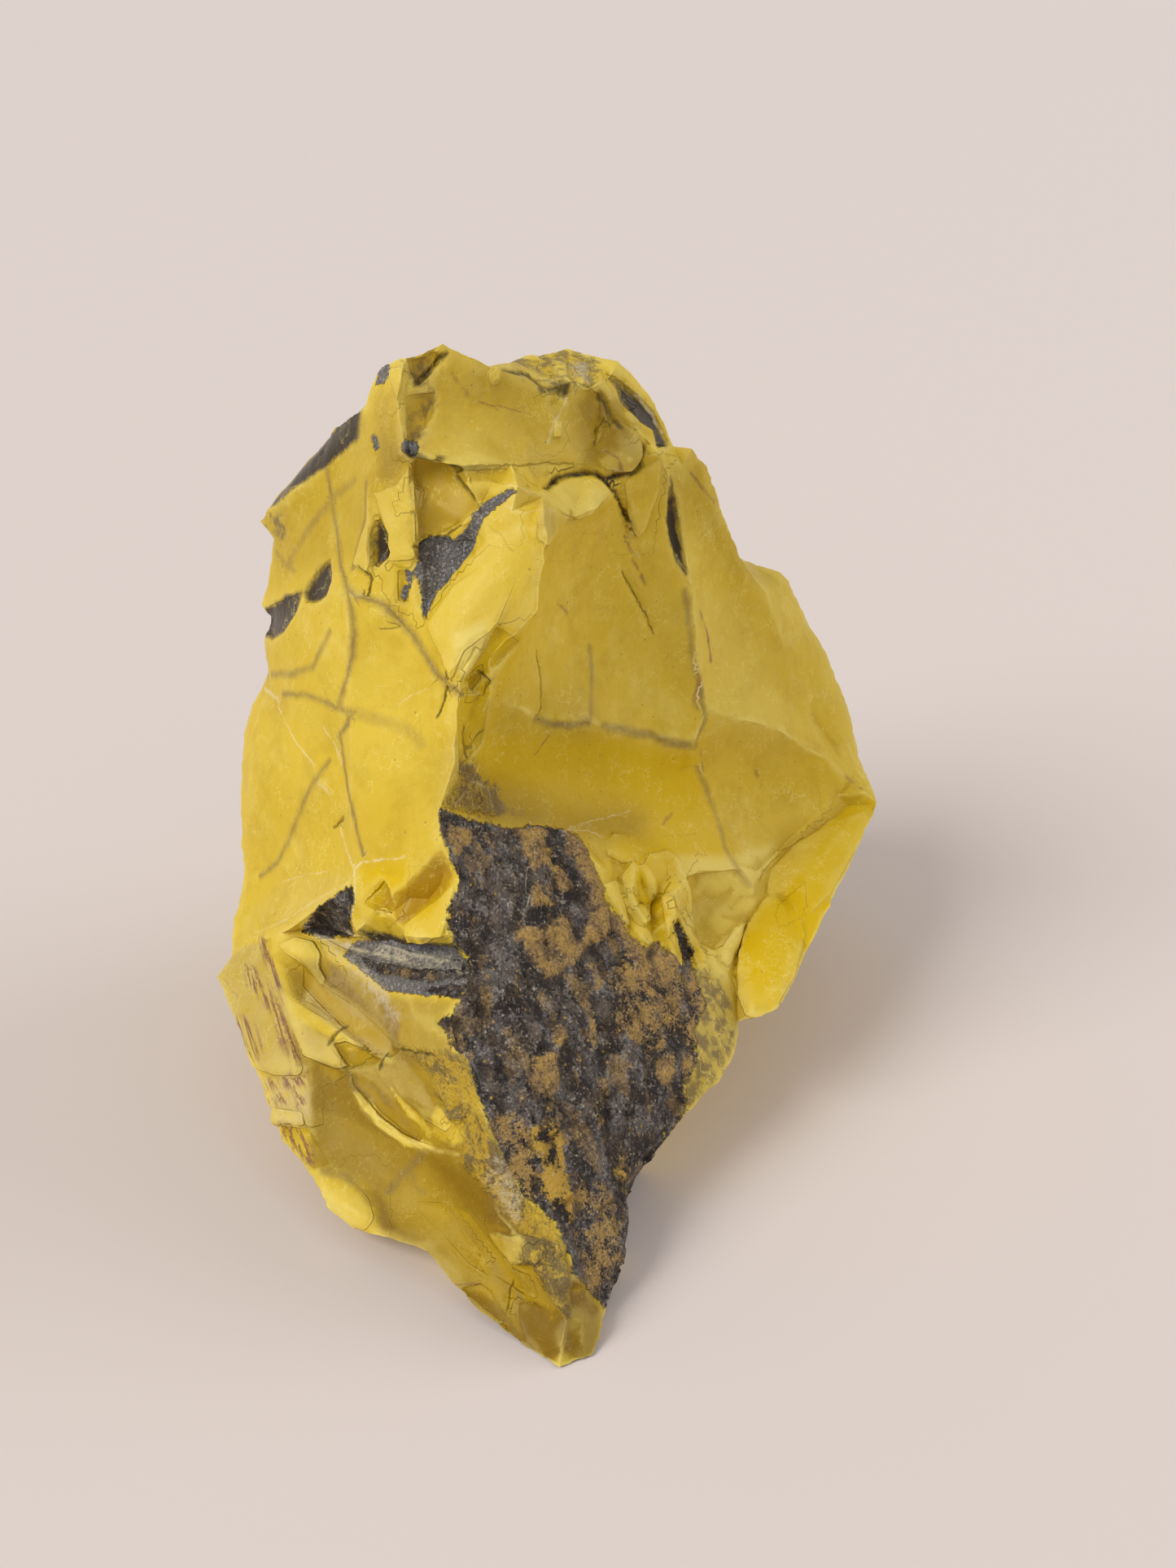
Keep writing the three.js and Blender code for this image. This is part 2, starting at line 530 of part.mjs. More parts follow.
/** Drawing plane of a face: turns points into flat (u, v) with a height, and back. */
class FacePlane {
  constructor(loop) {
    this.normal = loopNormal(loop);
    this.origin = new THREE.Vector3();
    loop.forEach((point) => this.origin.add(point));
    this.origin.divideScalar(loop.length);
    const helper = Math.abs(this.normal.z) < 0.9 ? [0, 0, 1] : [1, 0, 0];
    this.across = new THREE.Vector3(...helper).cross(this.normal).normalize();
    this.up = this.normal.clone().cross(this.across);
  }

  flatten(point) {
    const offset = point.clone().sub(this.origin);
    return new THREE.Vector2(offset.dot(this.across), offset.dot(this.up));
  }

  height(point) {
    return point.clone().sub(this.origin).dot(this.normal);
  }

  lift(flat, height) {
    return this.origin.clone()
      .addScaledVector(this.across, flat.x)
      .addScaledVector(this.up, flat.y)
      .addScaledVector(this.normal, height);
  }
}

/** Twice the signed area of a flat triangle. */
function turn(a, b, c) {
  return (b.x - a.x) * (c.y - a.y) - (b.y - a.y) * (c.x - a.x);
}

function distanceToSegment(point, start, end) {
  const along = end.clone().sub(start);
  const share = point.clone().sub(start).dot(along) / along.lengthSq();
  const nearest = start.clone().addScaledVector(along, Math.min(1, Math.max(0, share)));
  return nearest.distanceTo(point);
}

function isInside(point, outline) {
  let inside = false;
  outline.forEach((here, index) => {
    const next = outline[(index + 1) % outline.length];
    const crosses = (here.y > point.y) !== (next.y > point.y);
    const where = here.x + ((point.y - here.y) * (next.x - here.x)) / (next.y - here.y);
    if (crosses && point.x < where) {
      inside = !inside;
    }
  });
  return inside;
}

/** Points inside an outline, on a slightly scattered triangular grid. */
function innerPoints(outline) {
  const box = new THREE.Box2().setFromPoints(outline);
  const rowStep = FACE_STEP * Math.sqrt(0.75);
  const jitter = GRID_JITTER * FACE_STEP;
  const found = [];
  let row = 0;
  for (let v = box.min.y; v < box.max.y; v += rowStep) {
    const start = box.min.x + (row % 2) * FACE_STEP * 0.5;
    for (let u = start; u < box.max.x; u += FACE_STEP) {
      const seed = found.length + row * 131;
      const point = new THREE.Vector2(
        u + jitter * (scatter(seed) - 0.5),
        v + jitter * (scatter(seed + 57) - 0.5),
      );
      const clear = outline.every((corner, index) => {
        const next = outline[(index + 1) % outline.length];
        return distanceToSegment(point, corner, next) > EDGE_CLEARANCE * FACE_STEP;
      });
      if (clear && isInside(point, outline)) {
        found.push(point);
      }
    }
    row += 1;
  }
  return found;
}

/** True when point d lies inside the circle through the counter-clockwise a, b, c. */
function inCircle(a, b, c, d) {
  const rows = [a, b, c].map((point) => {
    const x = point.x - d.x;
    const y = point.y - d.y;
    return [x, y, x * x + y * y];
  });
  const [p, q, r] = rows;
  const value = p[0] * (q[1] * r[2] - q[2] * r[1])
    - p[1] * (q[0] * r[2] - q[2] * r[0])
    + p[2] * (q[0] * r[1] - q[1] * r[0]);
  return value > 1e-7;
}

/** Swap the diagonal between two neighbouring triangles wherever that makes them rounder. */
function roundTriangles(flat, triangles) {
  let swapped = true;
  for (let pass = 0; swapped && pass < SWAP_PASSES; pass += 1) {
    swapped = false;
    const owners = new Map();
    triangles.forEach((triangle, number) => {
      for (let side = 0; side < 3; side += 1) {
        owners.set(`${triangle[side]} ${triangle[(side + 1) % 3]}`, [number, side]);
      }
    });
    const touched = new Set();
    for (const [edge, [number, side]] of owners) {
      const [from, to] = edge.split(' ').map(Number);
      const other = owners.get(`${to} ${from}`);
      if (from > to || !other || touched.has(number) || touched.has(other[0])) {
        continue;
      }
      const near = triangles[number][(side + 2) % 3];
      const far = triangles[other[0]][(other[1] + 2) % 3];
      const convex = turn(flat[near], flat[from], flat[far]) > 1e-6
        && turn(flat[near], flat[far], flat[to]) > 1e-6;
      if (convex && inCircle(flat[from], flat[to], flat[near], flat[far])) {
        triangles[number] = [near, from, far];
        triangles[other[0]] = [near, far, to];
        touched.add(number);
        touched.add(other[0]);
        swapped = true;
      }
    }
  }
}

/** Triangles over an outline (the first points) and the points inside it (the rest). */
function triangulate(outline, inner) {
  const flat = [...outline, ...inner];
  const triangles = THREE.ShapeUtils.triangulateShape([...outline], []).map(([a, b, c]) => (
    turn(flat[a], flat[b], flat[c]) > 0 ? [a, b, c] : [a, c, b]
  ));
  inner.forEach((point, index) => {
    const number = outline.length + index;
    const home = triangles.findIndex(([a, b, c]) => (
      turn(flat[a], flat[b], point) >= 0
      && turn(flat[b], flat[c], point) >= 0
      && turn(flat[c], flat[a], point) >= 0
    ));
    const [a, b, c] = triangles[home];
    triangles[home] = [a, b, number];
    triangles.push([b, c, number], [c, a, number]);
    if (index % POINTS_PER_SWAP === 0) {
      roundTriangles(flat, triangles);
    }
  });
  roundTriangles(flat, triangles);
  return triangles;
}

/** For every point: how strongly each neighbour pulls on it, and its share of the area. */
function pullLists(flat, triangles) {
  const pulls = flat.map(() => ({ neighbours: new Map(), total: 0, area: 0 }));
  triangles.forEach((triangle) => {
    triangle.forEach((tip, side) => {
      const from = triangle[(side + 1) % 3];
      const to = triangle[(side + 2) % 3];
      const towardFrom = flat[from].clone().sub(flat[tip]);
      const towardTo = flat[to].clone().sub(flat[tip]);
      const doubleArea = towardFrom.cross(towardTo);
      const pull = Math.max(LEAST_PULL, towardFrom.dot(towardTo) / doubleArea);
      [[from, to], [to, from]].forEach(([here, other]) => {
        const { neighbours } = pulls[here];
        neighbours.set(other, (neighbours.get(other) ?? 0) + pull);
        pulls[here].total += pull;
      });
      pulls[tip].area += doubleArea / 6;
    });
  });
  return pulls;
}

/** Stretch values inside a face, with its outline held; push bows the middle. */
function relax(values, heldCount, pulls, push) {
  for (let pass = 0; pass < RELAX_PASSES; pass += 1) {
    for (let point = heldCount; point < values.length; point += 1) {
      const { neighbours, total, area } = pulls[point];
      let sum = push * area;
      neighbours.forEach((pull, other) => {
        sum += pull * values[other];
      });
      values[point] = sum / total;
    }
  }
  return values;
}

/** Heights of a face's points: stretched between its ridges, then bowed by swell. */
function faceHeights(plane, loop, flat, triangles, swell) {
  const pulls = pullLists(flat, triangles);
  const held = loop.length;
  const heights = flat.map((_, index) => (index < held ? plane.height(loop[index]) : 0));
  relax(heights, held, pulls, 0);
  const bow = relax(flat.map(() => 0), held, pulls, 1);
  const most = Math.max(1e-6, ...bow);
  return heights.map((height, index) => {
    const depth = bow[index] / most;
    const ripple = FACE_WOBBLE * Math.sqrt(depth) * wander(plane.lift(flat[index], 0), 3);
    return height + swell * depth + ripple;
  });
}

/** Numbers of all the points round a face, in order. */
function outlineNumbers(store, corners, level) {
  return corners.flatMap((name, index) => {
    const next = corners[(index + 1) % corners.length];
    return [store.corner(name), ...store.between(name, next, level)];
  });
}

/** Add one fracture face to the store and return its triangles. */
function buildFace(store, name, swell, corners) {
  const numbers = outlineNumbers(store, corners, FLAT_FACES.has(name));
  const loop = numbers.map((number) => store.points[number]);
  const plane = new FacePlane(loop);
  const outline = loop.map((point) => plane.flatten(point));
  const inner = FLAT_FACES.has(name) ? [] : innerPoints(outline);
  const triangles = triangulate(outline, inner);
  if (inner.length > 0) {
    const flat = [...outline, ...inner];
    const heights = faceHeights(plane, loop, flat, triangles, swell);
    inner.forEach((point, index) => {
      numbers.push(store.add(plane.lift(point, heights[outline.length + index])));
    });
  }
  return triangles.map((triangle) => triangle.map((point) => numbers[point]));
}

/** The whole stone as one closed geometry, standing on z = 0 over the origin. */
function stoneGeometry() {
  const store = new PointStore();
  const flatFirst = Object.entries(FACES).sort(
    ([a], [b]) => Number(FLAT_FACES.has(b)) - Number(FLAT_FACES.has(a)),
  );
  const triangles = flatFirst.flatMap(([name, [swell, loop]]) => (
    buildFace(store, name, swell, loop.split(/\s+/))
  ));
  const geometry = new THREE.BufferGeometry();
  geometry.setFromPoints(store.points);
  geometry.setIndex(triangles.flat());
  geometry.computeBoundingBox();
  const { min, max } = geometry.boundingBox;
  geometry.translate(-(min.x + max.x) / 2, -(min.y + max.y) / 2, -min.z);
  geometry.computeVertexNormals();
  return geometry;
}

/** Yellow, waxy stone; the dark rind is a colour change on the same solid. */
function stoneMaterial() {
  return new THREE.MeshStandardMaterial({
    color: STONE_COLOUR,
    roughness: STONE_ROUGHNESS,
    metalness: 0,
    flatShading: true,
  });
}

const stone = new THREE.Mesh(stoneGeometry(), stoneMaterial());
stone.name = 'stone';

const mookaite = new THREE.Group();
mookaite.add(stone);

export default mookaite;
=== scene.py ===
"""Rough mookaite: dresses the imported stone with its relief, colours and mineral markings."""

import logging
import math
from dataclasses import dataclass
from enum import Enum

import bmesh
import bpy
import numpy as np
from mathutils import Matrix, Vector, noise
from mathutils.bvhtree import BVHTree
from mathutils.kdtree import KDTree


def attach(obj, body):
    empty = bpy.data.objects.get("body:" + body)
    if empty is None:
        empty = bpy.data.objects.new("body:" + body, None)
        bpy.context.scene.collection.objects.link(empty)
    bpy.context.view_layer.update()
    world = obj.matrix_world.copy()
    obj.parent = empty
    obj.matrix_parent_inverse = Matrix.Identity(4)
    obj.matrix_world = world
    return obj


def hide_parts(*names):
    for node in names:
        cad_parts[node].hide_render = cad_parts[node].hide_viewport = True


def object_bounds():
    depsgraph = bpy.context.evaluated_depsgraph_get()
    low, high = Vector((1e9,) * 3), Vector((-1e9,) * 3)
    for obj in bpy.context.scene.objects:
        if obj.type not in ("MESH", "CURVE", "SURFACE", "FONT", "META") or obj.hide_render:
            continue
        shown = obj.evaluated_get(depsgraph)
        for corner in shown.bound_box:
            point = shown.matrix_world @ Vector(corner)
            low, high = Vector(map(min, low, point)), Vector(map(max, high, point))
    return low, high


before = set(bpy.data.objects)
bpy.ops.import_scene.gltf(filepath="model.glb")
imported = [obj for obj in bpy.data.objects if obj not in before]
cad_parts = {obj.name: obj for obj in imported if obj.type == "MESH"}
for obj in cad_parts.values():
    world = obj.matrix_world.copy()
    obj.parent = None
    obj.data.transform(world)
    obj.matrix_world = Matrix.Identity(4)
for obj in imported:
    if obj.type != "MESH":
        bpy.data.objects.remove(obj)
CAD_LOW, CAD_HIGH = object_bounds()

LOG = logging.getLogger("mookaite")
MM = 0.001
SEED = 11
TENTHS = 10
Spots = tuple[tuple[float, float], ...]
FAR_OUTSIDE = -9.0


# -- Where the stone is looked at from -------------


@dataclass(frozen=True)
class Viewpoint:
    """The eye that looks down on the stone; spots are steps right and down in its view.

    Sizes in millimetres, with spots counted on a view of `wide` by `high` steps.
    """

    eye: tuple[float, float, float] = (3.125, -193.375, 134.0)
    dip: float = math.radians(26.3)
    focal: float = 2400.0
    wide: int = 1445
    high: int = 1927
    sensor: float = 36.0
    clip_metres: tuple[float, float] = (0.01, 30.0)

    def ray(self, spot: tuple[float, float]) -> Vector:
        """Direction from the eye through a spot.

        Args:
            spot: Steps right and down in the view.

        Returns:
            The unit direction.
        """
        right = (spot[0] - self.wide / 2) / self.focal
        up = (self.high / 2 - spot[1]) / self.focal
        cos, sin = math.cos(self.dip), math.sin(self.dip)
        return Vector((right, cos + up * sin, up * cos - sin)).normalized()

    def spots(self, points: np.ndarray) -> np.ndarray:
        """Where points land in the view.

        Args:
            points: Rows of x, y, z in millimetres.

        Returns:
            Rows of steps right and down.
        """
        away = points - np.array(self.eye)
        depth = self.depths(points)
        up = away[:, 1] * math.sin(self.dip) + away[:, 2] * math.cos(self.dip)
        return np.column_stack(
            (
                self.wide / 2 + self.focal * away[:, 0] / depth,
                self.high / 2 - self.focal * up / depth,
            )
        )

    def depths(self, points: np.ndarray) -> np.ndarray:
        """Distance of points from the eye along its axis, in millimetres."""
        away = points - np.array(self.eye)
        return away[:, 1] * math.cos(self.dip) - away[:, 2] * math.sin(self.dip)

    def camera(self) -> bpy.types.Object:
        """Make the scene's camera at this viewpoint.

        Returns:
            The camera object.
        """
        data = bpy.data.cameras.new("viewpoint")
        data.sensor_width = self.sensor
        data.lens = self.sensor * self.focal / self.high
        data.clip_start, data.clip_end = self.clip_metres
        camera = bpy.data.objects.new("viewpoint", data)
        camera.location = Vector(self.eye) * MM
        camera.rotation_euler = (math.pi / 2 - self.dip, 0.0, 0.0)
        bpy.context.scene.collection.objects.link(camera)
        bpy.context.scene.camera = camera
        return camera


# -- Markings: thin lines and patches --------------


class Line(Enum):
    """What a thin line on the stone is filled with; the value picks its colour."""

    # Dark cracks, and painted shadow lines below overhangs.
    CRACK_AND_SHADOW = 0.0
    VEIN = 1.0
    CHALK = 2.0
    PURPLE = 3.0


class Stain(Enum):
    """What a patch of the stone is made of."""

    RIND = "rind"
    TAN = "tan"
    GOLD = "gold"
    MINERAL = "mineral"
    SMOKE = "smoke"
    DUST = "dust"
    CRUMB = "crumb"
    AMBER = "amber"
    GREY = "grey"
    BROWN = "brown"
    PURPLE = "purple"
    VIVID = "vivid"


@dataclass(frozen=True)
class Trace:
    """A thin line along the stone: what fills it, its width in mm, strength and path."""

    fill: Line
    width: float
    strength: float
    path: Spots


@dataclass(frozen=True)
class Patch:
    """An area of the stone: what it is made of, and its outline."""

    stain: Stain
    outline: Spots


@dataclass(frozen=True)
class Tint:
    """A facet painted paler (above 0) or darker (below 0) than its neighbours, or greyer.

    Paler and darker are painted light and shade for how the facet turns to the lamps, partly
    the jasper's own tone; greyer is a painted sheen, in places the facet's own grey. Its
    border fades over a width given in mm.
    """

    # Painted light above 0 and painted shade below 0, partly the facet's own tone.
    light: float
    # Painted sheen, in places the facet's own grey.
    grey_sheen: float
    fade: float
    outline: Spots


@dataclass(frozen=True)
class Chip:
    """A flake scar or standing flake.

    Its corners each have a height in tenths of a mm; its middle swells by some mm more.
    """

    corners: tuple[tuple[int, int, int], ...]
    swell: float = 0.0


# The long face on the left, crossed by grey-brown veins and chalky joints.
LEFT_FACE_LINES = (
    Trace(Line.VEIN, 0.34, 0.8, ((403, 583), (411, 632), (415, 659), (419, 695), (426, 720))),
    Trace(Line.VEIN, 0.34, 0.85, ((426, 720), (432, 750), (435, 777), (433, 805), (426, 832),
        (420, 854), (416, 869))),
    Trace(Line.VEIN, 0.36, 0.95, ((416, 869), (430, 875), (427, 890), (418, 903), (421, 920),
        (424, 945), (428, 972), (434, 997), (439, 1021), (446, 1050))),
    Trace(Line.VEIN, 0.3, 0.9, ((426, 722), (439, 733), (451, 736), (473, 743), (489, 758),
        (506, 777), (525, 807), (542, 833), (563, 851))),
    Trace(Line.VEIN, 0.65, 0.55, ((329, 829), (360, 828), (385, 818), (396, 796), (404, 780))),
    Trace(Line.VEIN, 0.2, 0.9, ((450, 600), (450, 637), (444, 659), (436, 692))),
    Trace(Line.VEIN, 0.8, 0.4, ((355, 690), (374, 659), (393, 632), (415, 607), (435, 591))),
    Trace(Line.VEIN, 0.36, 0.7, ((349, 853), (374, 854), (396, 861), (415, 870), (434, 876))),
    Trace(Line.VEIN, 1.6, 0.24, ((434, 876), (473, 887), (500, 895), (517, 912))),
    Trace(Line.VEIN, 0.3, 0.7, ((402, 939), (388, 958), (377, 978), (367, 1002), (355, 1032),
        (341, 1060), (322, 1075))),
    Trace(Line.VEIN, 0.3, 0.5, ((341, 681), (352, 695), (359, 700))),
    Trace(Line.CRACK_AND_SHADOW, 0.25, 0.9, ((550, 835), (546, 854), (540, 873))),
    Trace(Line.CRACK_AND_SHADOW, 0.22, 0.9, ((448, 702), (456, 709), (453, 722), (450, 735))),
    Trace(Line.CRACK_AND_SHADOW, 0.14, 0.5, ((476, 772), (489, 771))),
    Trace(Line.CRACK_AND_SHADOW, 0.3, 0.7, ((414, 1014), (420, 1008))),
    Trace(Line.CRACK_AND_SHADOW, 0.2, 0.8, ((596, 834), (603, 839), (600, 846))),
    Trace(Line.CHALK, 0.21, 0.72, ((492, 1054), (470, 1056), (446, 1059), (436, 1067))),
    Trace(Line.CHALK, 0.21, 0.68, ((419, 1018), (425, 1040), (435, 1068))),
    Trace(Line.CHALK, 0.21, 0.72, ((435, 1068), (436, 1106), (431, 1128), (434, 1148))),
    Trace(Line.CHALK, 0.5, 0.56, ((326, 847), (341, 860))),
    Trace(Line.CHALK, 0.19, 0.64, ((344, 872), (352, 890), (363, 912), (383, 936))),
    Trace(Line.CHALK, 0.11, 0.48, ((495, 862), (508, 853), (520, 849))),
    Trace(Line.CHALK, 0.43, 0.4, ((392, 962), (400, 970))),
    Trace(Line.CHALK, 0.25, 0.4, ((402, 900), (412, 915), (418, 935))),
    Trace(Line.CHALK, 0.15, 0.4, ((350, 1083), (372, 1076), (398, 1072))),
    Trace(Line.CHALK, 0.19, 0.4, ((318, 1145), (352, 1130), (385, 1108), (425, 1086))),
)

# The crown with its chipped front, the open crack that runs below it, painted shadow under
# the crown's overhanging lower edge, and the back rim's crack drawn with painted shadow.
CROWN_LINES = (
    Trace(Line.CRACK_AND_SHADOW, 0.6, 1.0, ((671, 601), (678, 594), (685, 588), (700, 584), (720, 581),
        (735, 584), (742, 588), (752, 587), (765, 584), (775, 580), (784, 572), (788, 560))),
    Trace(Line.CRACK_AND_SHADOW, 0.6, 1.0, ((742, 588), (753, 600), (761, 614))),
    Trace(Line.CRACK_AND_SHADOW, 0.3, 1.0, ((761, 614), (769, 634), (774, 650))),
    Trace(Line.CHALK, 0.12, 0.56, ((772, 644), (778, 662), (783, 680))),
    # Painted shadow under the crown's overhanging lower edge, here and in the next line.
    Trace(Line.CRACK_AND_SHADOW, 1.0, 0.9, ((503, 558), (520, 564), (535, 568), (550, 572), (562, 574))),
    Trace(Line.CRACK_AND_SHADOW, 0.5, 0.4, ((562, 574), (585, 574), (620, 572))),
    Trace(Line.CRACK_AND_SHADOW, 0.5, 0.7, ((787, 562), (790, 552))),
    Trace(Line.CRACK_AND_SHADOW, 0.5, 0.8, ((516, 468), (530, 456), (543, 440))),
    # Painted shadow along the rest of the ledge below the crown.
    Trace(Line.CRACK_AND_SHADOW, 0.14, 0.5, ((585, 573), (640, 571), (698, 569))),
    Trace(Line.CRACK_AND_SHADOW, 0.36, 0.8, ((559, 594), (569, 605), (576, 613), (586, 624))),
    Trace(Line.CRACK_AND_SHADOW, 0.18, 0.8, ((517, 668), (533, 659), (550, 658), (561, 650))),
    # A crack along the back rim, drawn as a wide dark line for the shadow in it, here and in the
    # next line.
    Trace(Line.CRACK_AND_SHADOW, 0.8, 0.85, ((621, 456), (645, 463), (665, 474), (690, 481))),
    Trace(Line.CRACK_AND_SHADOW, 0.3, 0.6, ((706, 476), (725, 472))),
    Trace(Line.CRACK_AND_SHADOW, 0.7, 0.65, ((741, 490), (748, 506), (756, 522))),
    Trace(Line.CRACK_AND_SHADOW, 0.14, 0.6, ((741, 520), (733, 540))),
    Trace(Line.PURPLE, 0.16, 0.6, ((595, 496), (606, 499))),
    Trace(Line.PURPLE, 0.16, 0.8, ((615, 499), (632, 504))),
    Trace(Line.PURPLE, 0.5, 0.45, ((560, 466), (569, 479))),
    Trace(Line.PURPLE, 0.4, 0.7, ((748, 561), (756, 566), (759, 575))),
    Trace(Line.CHALK, 0.31, 0.56, ((675, 537), (682, 520), (689, 506), (693, 495))),
    Trace(Line.CHALK, 0.19, 0.48, ((630, 625), (644, 631), (662, 626), (667, 619))),
    Trace(Line.CHALK, 0.15, 0.48, ((630, 598), (640, 600), (652, 606))),
    Trace(Line.PURPLE, 0.12, 0.5, ((607, 651), (617, 660), (624, 670))),
    Trace(Line.CHALK, 0.31, 0.6, ((788, 489), (800, 503), (812, 523))),
)

# The big smooth scar on the right.
SCAR_LINES = (
    Trace(Line.CRACK_AND_SHADOW, 0.14, 0.55, ((660, 807), (665, 835), (666, 868), (660, 884))),
    Trace(Line.VEIN, 0.6, 0.85, ((660, 884), (675, 890), (700, 892), (725, 886))),
    Trace(Line.VEIN, 0.5, 0.5, ((726, 885), (727, 850), (728, 826), (725, 800))),
    Trace(Line.CRACK_AND_SHADOW, 0.12, 0.7, ((767, 708), (777, 726), (787, 743), (800, 772))),
    Trace(Line.VEIN, 0.9, 0.6, ((745, 892), (768, 897), (799, 903), (822, 912), (854, 918))),
    Trace(Line.VEIN, 0.6, 0.5, ((842, 731), (848, 769), (850, 803), (856, 825))),
    Trace(Line.VEIN, 0.7, 0.7, ((860, 841), (863, 864), (867, 883), (860, 902), (854, 915))),
    Trace(Line.VEIN, 0.75, 0.42, ((857, 945), (868, 970), (876, 991), (886, 1020), (892, 1045),
        (905, 1066), (917, 1084))),
    Trace(Line.PURPLE, 0.9, 0.55, ((852, 806), (857, 826), (860, 842))),
    Trace(Line.PURPLE, 0.55, 0.75, ((862, 757), (869, 777), (873, 806))),
    Trace(Line.PURPLE, 0.4, 0.6, ((852, 586), (864, 600), (874, 613))),
    Trace(Line.PURPLE, 0.4, 0.5, ((688, 744), (694, 750))),
    Trace(Line.PURPLE, 0.2, 0.7, ((662, 921), (672, 907))),
    Trace(Line.PURPLE, 0.6, 0.6, ((1043, 957), (1054, 966))),
    Trace(Line.PURPLE, 0.6, 0.5, ((932, 953), (935, 960))),
    Trace(Line.PURPLE, 0.4, 0.45, ((817, 1009), (823, 1002))),
    Trace(Line.PURPLE, 0.4, 0.4, ((861, 925), (864, 948))),
    Trace(Line.CHALK, 0.1, 0.48, ((700, 1016), (730, 1008), (770, 998))),
    Trace(Line.CHALK, 0.12, 0.48, ((697, 1021), (722, 1020), (735, 1026))),
    Trace(Line.PURPLE, 0.7, 0.6, ((858, 842), (854, 862), (861, 874))),
    Trace(Line.PURPLE, 0.3, 0.6, ((770, 664), (779, 690), (790, 712))),
    Trace(Line.CHALK, 0.19, 0.56, ((836, 690), (841, 700), (846, 709))),
    Trace(Line.CHALK, 0.12, 0.48, ((559, 992), (575, 966), (585, 950))),
    Trace(Line.CHALK, 0.15, 0.4, ((583, 962), (600, 967), (604, 985))),
    Trace(Line.CRACK_AND_SHADOW, 0.2, 0.6, ((574, 903), (576, 925))),
    Trace(Line.CRACK_AND_SHADOW, 0.14, 0.6, ((590, 906), (584, 918))),
)

# The lower left: a brown vein, the toe's short cracks and the white line down the rind.
LOWER_LINES = (
    Trace(Line.PURPLE, 0.16, 0.7, ((322, 1157), (332, 1180), (338, 1204), (347, 1232))),
    Trace(Line.PURPLE, 0.14, 0.7, ((305, 1190), (318, 1215), (330, 1228), (342, 1250))),
    Trace(Line.PURPLE, 0.12, 0.6, ((310, 1188), (322, 1212), (334, 1236), (352, 1268))),
    Trace(Line.PURPLE, 0.12, 0.6, ((337, 1232), (350, 1256), (362, 1281), (372, 1305))),
    Trace(Line.PURPLE, 0.12, 0.5, ((342, 1262), (355, 1284), (368, 1309))),
    Trace(Line.PURPLE, 0.12, 0.5, ((278, 1207), (290, 1222))),
    Trace(Line.VEIN, 0.9, 0.42, ((518, 1420), (500, 1439), (481, 1460))),
    Trace(Line.VEIN, 0.2, 0.35, ((507, 1446), (511, 1458), (517, 1463))),
    Trace(Line.VEIN, 0.5, 0.45, ((400, 1441), (424, 1447), (439, 1459), (454, 1476))),
    Trace(Line.CRACK_AND_SHADOW, 0.14, 0.7, ((626, 1584), (624, 1600))),
    Trace(Line.VEIN, 0.22, 0.5, ((638, 1602), (638, 1616), (644, 1632), (652, 1650))),
    Trace(Line.VEIN, 0.2, 0.5, ((697, 1608), (697, 1622), (694, 1636), (698, 1650))),
    Trace(Line.PURPLE, 0.2, 0.6, ((562, 1583), (568, 1579), (580, 1579))),
    Trace(Line.CHALK, 0.5, 0.6, ((392, 1151), (420, 1159), (450, 1167), (485, 1175))),
    Trace(Line.CHALK, 0.3, 0.5, ((470, 1160), (505, 1168), (548, 1176), (560, 1190))),
    Trace(Line.CHALK, 0.1, 0.72, ((652, 1018), (655, 1046), (653, 1064))),
    Trace(Line.CHALK, 0.1, 0.72, ((649, 1068), (647, 1090), (651, 1100), (646, 1116))),
    Trace(Line.CRACK_AND_SHADOW, 0.4, 0.8, ((411, 1278), (414, 1272), (418, 1267))),
    Trace(Line.CRACK_AND_SHADOW, 0.3, 0.8, ((467, 1309), (469, 1302))),
    Trace(Line.VEIN, 0.22, 0.7, ((430, 1322), (438, 1340), (448, 1352))),
    Trace(Line.CRACK_AND_SHADOW, 0.3, 0.7, ((496, 1291), (512, 1294), (528, 1296))),
    Trace(Line.VEIN, 0.2, 0.5, ((568, 1352), (573, 1380), (581, 1408))),
)

TRACES = LEFT_FACE_LINES + CROWN_LINES + SCAR_LINES + LOWER_LINES

